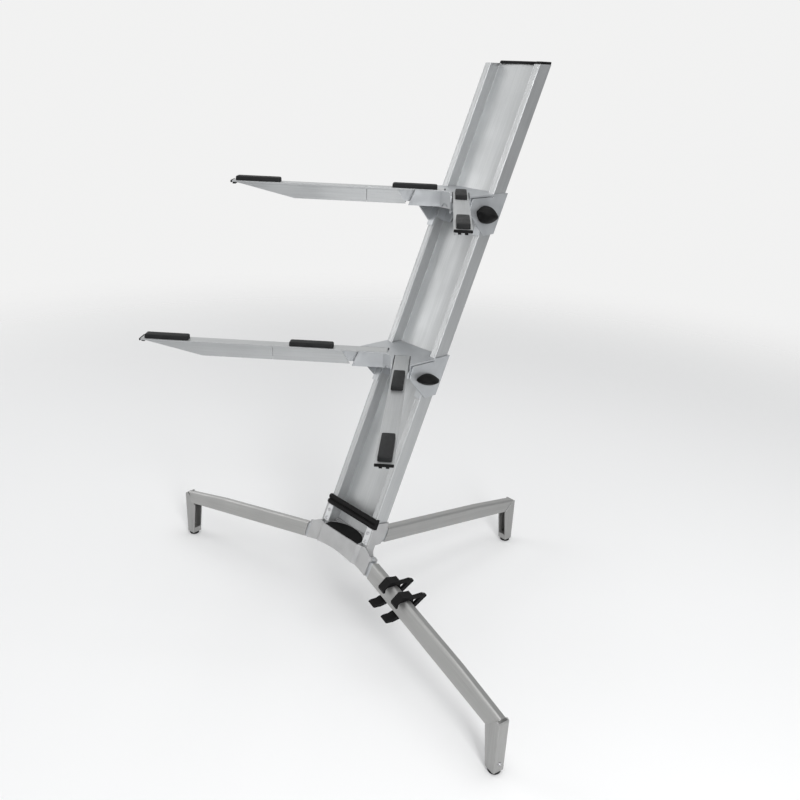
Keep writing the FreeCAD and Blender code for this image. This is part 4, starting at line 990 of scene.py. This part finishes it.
@dataclass
class CableClip:
    """A snap-on clip: saddle crown, cable loop behind the leg and a hook below in front.

    Its outlines lie across the leg: first the way to the leg's far side, from the leg's
    middle, then the way up, from the leg's centre line.
    """

    leg_half_height: float = 15.5 * MM
    gap: float = 0.1 * MM
    tongue: float = 11.0 * MM
    tongue_wall: float = 4.0 * MM
    tongue_flare: float = 0.8 * MM
    peak: float = 10.0 * MM
    near_peak: float = -5.0 * MM
    far_peak: float = 38.0 * MM
    far_drop: float = 6.0 * MM
    sag: float = 1.9 * MM
    crown_steps: int = 8
    reach: float = 47.0 * MM
    reach_drop: float = 5.0 * MM
    tip: float = 2.5 * MM
    strap: float = 3.2 * MM
    strap_foot: float = -12.0 * MM
    strap_keel: tuple[float, float, float] = (2.5 * MM, 5.0 * MM, 6.5 * MM)
    loop_thick: float = 6.0 * MM
    loop_gap: float = 0.6 * MM
    wall: float = 4.2 * MM
    hole_ceiling: tuple[float, float] = (1.0 * MM, 2.0 * MM)
    hole_inset: float = 12.0 * MM
    hole_rise: float = 10.2 * MM
    hole_round: float = 3.0 * MM
    hook_reach: float = 37.0 * MM
    hook_root: tuple[tuple[float, float], ...] = ((0.0, 9.0), (7.0, 10.2), (9.0, 9.2))
    hook_end: tuple[tuple[float, float], ...] = ((3.5, 8.4), (0.0, 6.0), (1.0, 3.8), (4.5, 2.6))
    hook_top: tuple[float, float] = (6.0, 3.0)
    corner: float = 5.5 * MM

    def crown(self, top: float) -> Outline:
        """Gives the sagging upper line from the near to the far peak.

        Args:
            top: The leg's top.

        Returns:
            The line's points.
        """
        points = []
        for step in range(self.crown_steps + 1):
            share = step / self.crown_steps
            y = self.near_peak + (self.far_peak - self.near_peak) * share
            fall = self.far_drop * share + self.sag * math.sin(math.pi * share)
            points.append((y, top + self.peak - fall))
        return points

    def hook(self, half: float, low: float) -> Outline:
        """Gives the hook that stands out under the leg's near side.

        Args:
            half: Half the leg's width.
            low: The leg's underside.

        Returns:
            Its outline, out along its underside and back along its top.
        """
        root = [(-half - out * MM, low - below * MM) for out, below in self.hook_root]
        end = [(back * MM - self.hook_reach, low - below * MM) for back, below in self.hook_end]
        out, below = self.hook_top
        return root + end + [(-half - out * MM, low - below * MM)]

    def saddle(self, half: float, top: float, low: float) -> Outline:
        """Gives the saddle's outline, round its outside and back along the leg.

        Args:
            half: Half the leg's width.
            top: The leg's top.
            low: The leg's underside.

        Returns:
            The outline's points.
        """
        inner = half + self.gap
        outer = inner + self.strap
        near_side = -inner - self.tongue_wall
        tail, heel, keel = self.strap_keel
        tongue = [(-inner, top - self.tongue), (near_side, top - self.tongue),
                  (near_side - self.tongue_flare, top - self.tongue / 2)]
        crown = [point for point in self.crown(top) if point[0] < inner]
        strap = [(outer, top + self.peak - self.far_drop / 2 - self.sag), (outer, low - tail),
                 (half, low - heel), (0.0, low - keel)]
        under = [(-half, low - self.gap), (inner, low - self.gap)]
        turns = [math.pi / 2 * step / 5 for step in range(6)]
        seat = [(inner - self.corner * (1 - math.cos(turn)),
                 top + self.gap - self.corner * (1 - math.sin(turn))) for turn in turns]
        seat += [(-y, z) for y, z in reversed(seat)]
        return tongue + crown + strap + self.hook(half, low) + under + seat

    def loop(self, half: float, top: float) -> Outline:
        """Gives the cable loop's outline, beside the leg.

        Args:
            half: Half the leg's width.
            top: The leg's top.

        Returns:
            The outline's points.
        """
        near = half + self.loop_gap
        crown = [point for point in self.crown(top) if point[0] > near]
        outer_corner = top + self.peak - self.far_drop - self.reach_drop
        return [(near, crown[0][1])] + crown + [
            (self.reach, outer_corner), (self.reach, outer_corner - self.tip),
            (near + self.strap, self.strap_foot), (near, self.strap_foot - 1.0 * MM)]

    def hole(self, half: float, top: float) -> Outline:
        """Gives the cable loop's opening: a triangle with round corners beside the leg.

        Args:
            half: Half the leg's width.
            top: The leg's top.

        Returns:
            The opening's points.
        """
        near = half + self.strap
        ceiling = top + self.peak - self.far_drop - self.wall
        near_fall, far_fall = self.hole_ceiling
        corners = [Vector((near, ceiling - near_fall)),
                   Vector((self.reach - self.hole_inset, ceiling - far_fall)),
                   Vector((near, self.strap_foot + self.hole_rise))]
        points = []
        for index, corner in enumerate(corners):
            before = (corners[index - 1] - corner).normalized()
            after = (corners[(index + 1) % 3] - corner).normalized()
            start, end = corner + before * self.hole_round, corner + after * self.hole_round
            for step in range(7):
                share = step / 6
                bend = start.lerp(corner, share).lerp(corner.lerp(end, share), share)
                points.append((bend.x, bend.y))
        return points

    def build(self, name: str, frame: LocalFrame, leg: tuple[Vector, Vector],
              span: tuple[float, float]) -> bpy.types.Object:
        """Builds the clip.

        Args:
            name: The piece's name.
            frame: The leg's frame, X along it.
            leg: The leg's lowest and highest corner in that frame.
            span: Where the clip begins and ends along the leg.

        Returns:
            The clip.
        """
        low, high = leg
        middle = (low.y + high.y) / 2
        half = (high.y - low.y) / 2
        top, bottom = self.leg_half_height, -self.leg_half_height
        centre = high.z - self.leg_half_height
        start, end = span
        maker = MeshMaker(name)
        for outlines, begin in (([self.saddle(half, top, bottom)], start),
                                ([self.loop(half, top), self.hole(half, top)], end - self.loop_thick)):
            rings = [[Vector((begin, middle + y, centre + z)) for y, z in outline] for outline in outlines]
            maker.prism(rings, Vector((end - begin, 0.0, 0.0)))
        return maker.make(frame, 28.0)


@dataclass
class Leg(SubAssembly):
    """One folding leg with its hinge block, post, screw and rubber foot."""

    side: Side = Side.RIGHT
    foot_groove: float = 0.5 * MM
    foot_round: float = 1.3 * MM
    foot_disc: float = 6.0 * MM
    foot_waist: float = 0.52
    stem_radius: float = 3.0 * MM
    sole_rings: tuple[float, float] = (0.72, 0.46)
    screw: SocketScrew = field(default_factory=lambda: SocketScrew(
        head=3.2 * MM, shank=1.85 * MM, rise=1.2 * MM, length=5.5 * MM, socket=1.6 * MM,
        socket_depth=1.0 * MM))

    def heading(self) -> Vector:
        """Gives the level direction out along the leg.

        Returns:
            The unit vector.
        """
        ways = {
            Side.RIGHT: Vector((LEG_SPAN, -LEG_SWEEP, 0.0)),
            Side.LEFT: Vector((-LEG_SPAN, -LEG_SWEEP, 0.0)),
            Side.REAR: Vector((0.0, 1.0, 0.0)),
        }
        return ways[self.side].normalized()

    def rubber_foot(self) -> bpy.types.Object:
        """Builds the foot: a grooved disc with rings in its sole, on a stem.

        Returns:
            The foot.
        """
        name = "rubber_foot_" + self.side.value
        low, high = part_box(name)
        centre = (low + high) / 2
        radius = (high.x - low.x) / 2
        disc = self.foot_disc
        waist = disc * self.foot_waist
        outer, inner = (radius * share for share in self.sole_rings)
        deep = self.foot_groove
        profile = []
        for groove in (inner, outer):
            profile += [(groove - deep, 0.0), (groove - deep, deep),
                        (groove + deep, deep), (groove + deep, 0.0)]
        for step in range(5):
            turn = math.pi / 2 * step / 4
            profile.append((radius - self.foot_round * (1 - math.sin(turn)),
                            self.foot_round * (1 - math.cos(turn))))
        profile += [(radius, waist - deep), (radius - deep, waist - deep / 2),
                    (radius - deep, waist + deep / 2), (radius, waist + deep), (radius, disc - deep),
                    (radius - deep, disc), (self.stem_radius, disc), (self.stem_radius, high.z)]
        maker = MeshMaker("moulded_foot_" + self.side.value)
        maker.stack([round_ring(reach, height, 48) for reach, height in profile])
        axis = Vector((centre.x, centre.y, 0.0))
        return maker.make(LocalFrame(axis, STAND_FRAME.x, STAND_FRAME.z))

    def foot_screw(self) -> bpy.types.Object:
        """Builds the screw in the post's outer face.

        Returns:
            The screw.
        """
        node = self.frame["nodes"]["foot_screw_" + self.side.value]
        frame = LocalFrame(Vector((0, 0, 0)), Vector((0, 0, 1)), self.heading())
        low, high = frame.extent(node)
        middle = (low + high) / 2
        maker = MeshMaker("post_screw_" + self.side.value)
        self.screw.build(maker, Vector((middle.x, middle.y, high.z - self.screw.rise)))
        return maker.make(frame)

    def cable_clips(self) -> None:
        """Builds the two clips on the right leg."""
        frame = LocalFrame(Vector((0, 0, 0)), Direction.LEG_RIGHT.vector(), Vector((0, 0, 1)))
        leg = frame.extent(self.frame["nodes"]["leg_right"])
        for place in ("inner", "outer"):
            low, high = frame.extent(self.frame["nodes"]["cable_clip_" + place])
            clip = CableClip().build("snap_clip_" + place, frame, leg, (low.x, high.x))
            self.hand_over(clip, "cable_clip_" + place, self.finishes.get(PLASTIC), "black_plastic")

    def build(self) -> None:
        """Dresses the leg's pieces and makes its foot and screw."""
        run = {Side.RIGHT: Direction.LEG_RIGHT, Side.LEFT: Direction.LEG_LEFT, Side.REAR: Direction.LEG_REAR}
        name = self.side.value
        self.dress("leg_" + name, self.finishes.leg_profile(run[self.side]))
        self.dress("foot_post_" + name, self.finishes.leg_profile(Direction.UPRIGHT))
        self.dress("hinge_block_" + name, self.finishes.get(CASTING))
        self.hand_over(self.foot_screw(), "foot_screw_" + name, self.finishes.get(STEEL), "steel")
        self.hand_over(self.rubber_foot(), "rubber_foot_" + name, self.finishes.get(RUBBER), "rubber")
        if self.side is Side.RIGHT:
            self.cable_clips()


@dataclass
class Tier(SubAssembly):
    """One carriage with its clamp and its two padded arms."""

    level: Level = Level.LOWER
    pad_corner: float = 3.8 * MM
    pad_edge: float = 1.9 * MM
    pad_ramp: float = 9.0 * MM
    pad_ramp_drop: float = 1.1 * MM
    pad_crown: float = 0.35 * MM
    pad_draft: float = 0.25 * MM
    pad_foot: float = 0.4 * MM
    pad_shoulders: tuple[float, float] = (2.5 * MM, 6.0 * MM)
    plug_half: float = 2.6 * MM
    plug_inset: float = 7.0 * MM
    strip_depth: float = 3.0 * MM
    strip_height: float = 4.0 * MM
    strip_edge: float = 0.6 * MM
    strip_plug: float = 5.0 * MM
    strip_plug_half: float = 3.0 * MM
    strip_plug_inset: float = 2.5 * MM
    knob_radius: float = 24.0 * MM
    knob_rim: float = 2.2 * MM
    knob_centre: float = 3.0 * MM
    knob_face: float = 0.5 * MM
    knob_lip: float = 0.5 * MM
    knob_belly: float = 2.2
    knob_last: float = 88.5
    knob_slices: int = 26
    knob_turn: dict[Level, float] = field(default_factory=lambda: {Level.LOWER: -16.0, Level.UPPER: -8.0})

    def arm_frame(self, side: Side) -> LocalFrame:
        """Gives the frame of an arm: X out along it, Z up."""
        run = Direction.ARM_RIGHT if side is Side.RIGHT else Direction.ARM_LEFT
        return LocalFrame(Vector((0, 0, 0)), run.vector(), Vector((0, 0, 1)))

    def pad_levels(self, height: float) -> Outline:
        """Gives the pad's upward profile.

        Args:
            height: The pad's full height.

        Returns:
            Pairs of inset from its outline and height.
        """
        rim = height - self.pad_crown
        levels = [(self.pad_foot, 0.0), (0.0, 0.5 * MM), (self.pad_draft, rim - self.pad_edge)]
        for step in range(1, 6):
            turn = math.pi / 2 * step / 5
            levels.append((self.pad_draft + self.pad_edge * (1 - math.cos(turn)),
                           rim - self.pad_edge * (1 - math.sin(turn))))
        near, far = (self.pad_edge + shoulder for shoulder in self.pad_shoulders)
        return levels + [(near, height - self.pad_crown / 2), (far, height)]

    def pad(self, side: Side, which: str) -> bpy.types.Object:
        """Builds a pad: round corners, a crowned top that falls at both ends, and two plugs.

        Args:
            side: The arm's side.
            which: inner or outer.

        Returns:
            The pad.
        """
        tail = which + "_" + self.level.value + "_" + side.value
        frame = self.arm_frame(side)
        low, high = frame.extent(self.frame["nodes"]["pad_" + tail])
        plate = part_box("arm_" + self.level.value + "_" + side.value)[1].z
        half_x, half_y = (high.x - low.x) / 2, (high.y - low.y) / 2
        centre = Vector(((low.x + high.x) / 2, (low.y + high.y) / 2, plate))
        maker = MeshMaker("moulded_pad_" + tail)
        rings = []
        for inset, level in self.pad_levels(high.z - plate):
            corner = max(self.pad_corner - inset, self.pad_foot)
            share = level / (high.z - plate)
            ring = []
            for x, y in rounded_outline(half_x - inset, half_y - inset, corner):
                into = max(0.0, (abs(x) - half_x + self.pad_ramp) / self.pad_ramp)
                ring.append(centre + Vector((x, y, level - share * self.pad_ramp_drop * into ** 2)))
            rings.append(ring)
        maker.stack(rings)
        for x in (low.x + self.plug_inset, high.x - self.plug_inset):
            maker.stack(self.plug_rings(Vector((x, centre.y, 0.0)), low.z, plate + 0.3 * MM))
        return maker.make(frame)

    def plug_rings(self, at: Vector, low: float, high: float) -> list[Ring]:
        """Gives the rings of one square plug under a pad.

        Args:
            at: Its place along and across the arm.
            low: Its lower end.
            high: Its upper end, in the pad.

        Returns:
            The rings.
        """
        rings = []
        for inset, height in ((0.7 * MM, low), (0.0, low + 0.7 * MM), (0.0, high)):
            outline = rounded_outline(self.plug_half - inset, self.plug_half - inset, 0.5 * MM, 3)
            rings.append([at + Vector((x, y, height)) for x, y in outline])
        return rings

    def end_strip(self, side: Side) -> bpy.types.Object:
        """Builds the thin black strip across an arm's tip, with its two plugs.

        Args:
            side: The arm's side.

        Returns:
            The strip.
        """
        tail = self.level.value + "_" + side.value
        frame = self.arm_frame(side)
        low, high = frame.extent(self.frame["nodes"]["arm_cap_" + tail])
        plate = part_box("arm_" + tail)[1].z
        middle = (low.y + high.y) / 2
        half_x, half_y = self.strip_depth / 2, (high.y - low.y) / 2
        maker = MeshMaker("end_strip_" + tail)
        edge = self.strip_edge
        bottom = plate - self.strip_height
        rings = []
        for inset, height in ((edge, bottom), (0.0, bottom + edge), (0.0, high.z - edge), (edge, high.z)):
            outline = rounded_outline(half_x - inset, half_y - inset, 0.8 * MM, 4)
            rings.append([Vector((high.x - half_x + x, middle + y, height)) for x, y in outline])
        maker.stack(rings)
        outline = rounded_outline(self.strip_plug_half, self.strip_plug / 2, edge, 3)
        inward = high.x - self.strip_depth - self.strip_plug_inset
        for across in (-self.strip_plug, self.strip_plug):
            maker.stack([[Vector((inward + x, middle + across + y, height)) for x, y in outline]
                         for height in (low.z, plate - 3.0 * MM)])
        return maker.make(frame)

    def knob(self) -> bpy.types.Object:
        """Builds the clamp's knob: half of a lens, cut flat where it faces the cheek.

        Returns:
            The knob.
        """
        name = self.level.value
        bolt_low, bolt_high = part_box("clamp_bolt_" + name)
        knob_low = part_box("clamp_knob_" + name)[0]
        axis = (bolt_low + bolt_high) / 2
        turn = -LEAN - math.radians(self.knob_turn[self.level])
        up = Vector((0.0, -math.sin(turn), math.cos(turn)))
        face = knob_low.x - self.knob_face
        frame = LocalFrame(Vector((face, axis.y, axis.z)), Vector((1.0, 0.0, 0.0)), up)
        low, high = frame.extent(self.frame["nodes"]["clamp_knob_" + name])
        first = math.asin((low.x - self.knob_centre) / self.knob_radius)
        last = math.radians(self.knob_last)
        maker = MeshMaker("lens_knob_" + name)
        rings = []
        for index in range(self.knob_slices + 1):
            turned = first + (last - first) * index / self.knob_slices
            rings.append(self.lens_slice(math.sin(turned) * self.knob_radius, high.z))
        maker.stack(rings)
        return maker.make(frame, 50.0)

    def lens_slice(self, out: float, crown: float) -> Ring:
        """Gives the lens's outline in one plane across the knob's chord.

        Args:
            out: Distance of the plane from the lens's centre.
            crown: The lens's half thickness.

        Returns:
            The outline.
        """
        edge = self.knob_radius - self.knob_lip
        reach = math.sqrt(max(edge ** 2 - out ** 2, (0.3 * MM) ** 2))
        steps = 24
        upper = []
        for step in range(steps + 1):
            y = -reach * math.cos(math.pi * step / steps)
            share = min(1.0, math.hypot(out, y) / edge)
            upper.append((y, self.knob_rim + (crown - self.knob_rim) * (1 - share ** self.knob_belly)))
        tip = reach + self.knob_lip
        outline = upper + [(tip, 0.0)] + [(y, -z) for y, z in reversed(upper)] + [(-tip, 0.0)]
        return [Vector((self.knob_centre + out, y, z)) for y, z in outline]

    def build(self) -> None:
        """Dresses the carriage and the arms and makes the pads and the knob."""
        name = self.level.value
        self.dress("carriage_" + name, self.finishes.get(CASTING))
        self.dress("clamp_bolt_" + name, self.finishes.get(STEEL))
        self.dress("clamp_nut_" + name, self.finishes.get(STEEL))
        self.hand_over(self.knob(), "clamp_knob_" + name, self.finishes.get(PLASTIC), "black_plastic")
        for side, run in ((Side.RIGHT, Direction.ARM_RIGHT), (Side.LEFT, Direction.ARM_LEFT)):
            tail = name + "_" + side.value
            self.dress("arm_" + tail, self.finishes.profile(run))
            self.dress("arm_root_" + tail, self.finishes.get(CASTING))
            self.hand_over(self.end_strip(side), "arm_cap_" + tail, self.finishes.get(PLASTIC),
                           "black_plastic")
            for which in ("inner", "outer"):
                self.hand_over(self.pad(side, which), "pad_" + which + "_" + tail, self.finishes.get(RUBBER),
                               "rubber")


# ---------------------------------------------------------------- studio
@dataclass(frozen=True)
class Lamp:
    """One soft light: where it hangs, where it looks, its width and height, and its watts."""

    name: str
    place: tuple[float, float, float]
    aim: tuple[float, float, float]
    size: tuple[float, float]
    power: float

    def hang(self) -> None:
        """Hangs the light in the scene."""
        data = bpy.data.lights.new(self.name, "AREA")
        data.shape = "RECTANGLE"
        data.size, data.size_y = self.size
        data.energy = self.power
        lamp = bpy.data.objects.new(self.name, data)
        bpy.context.collection.objects.link(lamp)
        lamp.location = self.place
        sight = Vector(self.aim) - Vector(self.place)
        lamp.rotation_euler = sight.to_track_quat("-Z", "Y").to_euler()


OVERHEAD: Lamp = Lamp("Overhead", (0.3, 0.2, 3.4), (0.0, 0.0, 0.5), (3.0, 3.0), 42.0)
LEFT_WINDOW: Lamp = Lamp("Left window", (-2.7, -1.5, 1.7), (0.0, 0.0, 0.9), (1.6, 2.0), 16.0)
RIGHT_WINDOW: Lamp = Lamp("Right window", (2.75, -1.3, 1.6), (0.0, 0.0, 0.7), (0.8, 3.1), 72.0)


@dataclass
class Studio:
    """Pale floor that fades into the backdrop, soft lights and the photograph's viewpoint."""

    place: tuple[float, float, float] = (1.16281, -1.07616, 1.05808)
    azimuth: float = 47.328
    pitch: float = 21.158
    roll: float = 2.4447
    lens: float = 38.601
    paper: float = 0.90
    backdrop: Colour = (0.885, 0.885, 0.883)
    ambient: Colour = (0.46, 0.465, 0.47)
    dim: Colour = (0.40, 0.405, 0.41)
    bright: Colour = (0.95, 0.95, 0.945)
    brighter_side: tuple[float, float, float] = (-0.90, -0.20, 0.38)
    mirror_grade: tuple[float, float] = (-0.2, 0.95)
    floor_half: float = 5.0
    floor_full: float = 1.3
    floor_gone: float = 3.2

    def camera(self) -> None:
        """Sets up the camera at the photograph's viewing angle."""
        data = bpy.data.cameras.new("View")
        data.lens = self.lens
        data.sensor_width = 36.0
        data.sensor_fit = "HORIZONTAL"
        data.clip_end = 50.0
        view = bpy.data.objects.new("View", data)
        bpy.context.collection.objects.link(view)
        turn, dip, roll = (math.radians(a) for a in (self.azimuth, self.pitch, self.roll))
        level = Vector((math.cos(turn), math.sin(turn), 0.0))
        ahead = Vector((-math.sin(turn) * math.cos(dip), math.cos(turn) * math.cos(dip), -math.sin(dip)))
        above = level.cross(ahead)
        right = level * math.cos(roll) + above * math.sin(roll)
        up = above * math.cos(roll) - level * math.sin(roll)
        axes = Matrix((right, up, -ahead)).transposed().to_4x4()
        view.matrix_world = Matrix.Translation(self.place) @ axes
        bpy.context.scene.camera = view

    def floor(self) -> None:
        """Lays the pale floor, which fades out with distance so that no horizon shows."""
        mesh = bpy.data.meshes.new("Floor")
        half = self.floor_half
        mesh.from_pydata([(-half, -half, 0), (half, -half, 0), (half, half, 0), (-half, half, 0)], [],
                         [(0, 1, 2, 3)])
        floor = bpy.data.objects.new("Floor", mesh)
        bpy.context.collection.objects.link(floor)
        material = bpy.data.materials.new("Floor paper")
        material.use_nodes = True
        tree = material.node_tree
        shader = tree.nodes["Principled BSDF"]
        shader.inputs["Base Color"].default_value = (self.paper, self.paper, self.paper, 1.0)
        shader.inputs["Roughness"].default_value = 0.9
        shader.inputs["Specular IOR Level"].default_value = 0.0
        reach = tree.nodes.new("ShaderNodeVectorMath")
        reach.operation = "LENGTH"
        tree.links.new(tree.nodes.new("ShaderNodeTexCoord").outputs["Object"], reach.inputs[0])
        fade = tree.nodes.new("ShaderNodeMapRange")
        fade.interpolation_type = "SMOOTHERSTEP"
        fade.inputs["From Min"].default_value = self.floor_full
        fade.inputs["From Max"].default_value = self.floor_gone
        tree.links.new(reach.outputs["Value"], fade.inputs["Value"])
        gone = tree.nodes.new("ShaderNodeBsdfTransparent")
        mix = tree.nodes.new("ShaderNodeMixShader")
        tree.links.new(fade.outputs["Result"], mix.inputs[0])
        tree.links.new(shader.outputs[0], mix.inputs[1])
        tree.links.new(gone.outputs[0], mix.inputs[2])
        tree.links.new(mix.outputs[0], tree.nodes["Material Output"].inputs["Surface"])
        mesh.materials.append(material)

    def world(self) -> None:
        """Gives the surroundings: paper white where seen, a room brighter on the left where mirrored."""
        world = bpy.data.worlds.new("Studio")
        bpy.context.scene.world = world
        world.use_nodes = True
        tree = world.node_tree
        back = tree.nodes["Background"]
        path = tree.nodes.new("ShaderNodeLightPath")
        side = tree.nodes.new("ShaderNodeVectorMath")
        side.operation = "DOT_PRODUCT"
        side.inputs[1].default_value = Vector(self.brighter_side).normalized()
        tree.links.new(tree.nodes.new("ShaderNodeTexCoord").outputs["Generated"], side.inputs[0])
        grade = tree.nodes.new("ShaderNodeMapRange")
        grade.interpolation_type = "SMOOTHSTEP"
        for socket, value in zip(("From Min", "From Max"), self.mirror_grade):
            grade.inputs[socket].default_value = value
        tree.links.new(side.outputs["Value"], grade.inputs["Value"])
        room = self.mix(tree, grade.outputs["Result"], self.dim, self.bright)
        mirrored = tree.nodes.new("ShaderNodeMath")
        mirrored.operation = "MAXIMUM"
        tree.links.new(path.outputs["Is Glossy Ray"], mirrored.inputs[0])
        tree.links.new(path.outputs["Is Transmission Ray"], mirrored.inputs[1])
        lit = self.mix(tree, mirrored.outputs[0], self.ambient, room)
        shown = self.mix(tree, path.outputs["Is Camera Ray"], lit, self.backdrop)
        tree.links.new(shown, back.inputs["Color"])
        back.inputs["Strength"].default_value = 1.0

    @staticmethod
    def mix(tree: bpy.types.NodeTree, factor: bpy.types.NodeSocket, a: object,
            b: object) -> bpy.types.NodeSocket:
        """Mixes two colours, each a tuple or a socket.

        Args:
            tree: The tree that gets the node.
            factor: The mask.
            a: Colour at 0.
            b: Colour at 1.

        Returns:
            The mixed socket.
        """
        node = tree.nodes.new("ShaderNodeMix")
        node.data_type = "RGBA"
        tree.links.new(factor, node.inputs[0])
        for index, value in ((6, a), (7, b)):
            if isinstance(value, bpy.types.NodeSocket):
                tree.links.new(value, node.inputs[index])
            else:
                node.inputs[index].default_value = (*value, 1.0)
        return node.outputs[2]

    def build(self) -> None:
        """Builds the whole studio."""
        self.camera()
        self.floor()
        self.world()
        for lamp in (OVERHEAD, LEFT_WINDOW, RIGHT_WINDOW):
            lamp.hang()
        log.info("studio ready")


def corners(box: tuple[Vector, Vector]) -> list[list[float]]:
    """Gives a box as plain lists of numbers."""
    return [[float(value) for value in corner] for corner in box]


def main() -> None:
    """Builds the scene, piece by piece."""
    logging.basicConfig(level=logging.INFO, format="%(message)s")
    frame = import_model()
    finishes = FinishBook(SharedEffects())
    Column(frame, finishes).build()
    Base(frame, finishes).build()
    for side in Side:
        Leg(frame, finishes, side).build()
    for level in Level:
        Tier(frame, finishes, level).build()
    Studio().build()
    scene = bpy.context.scene
    scene.view_settings.view_transform = "Standard"


if __name__ == "__main__":
    main()
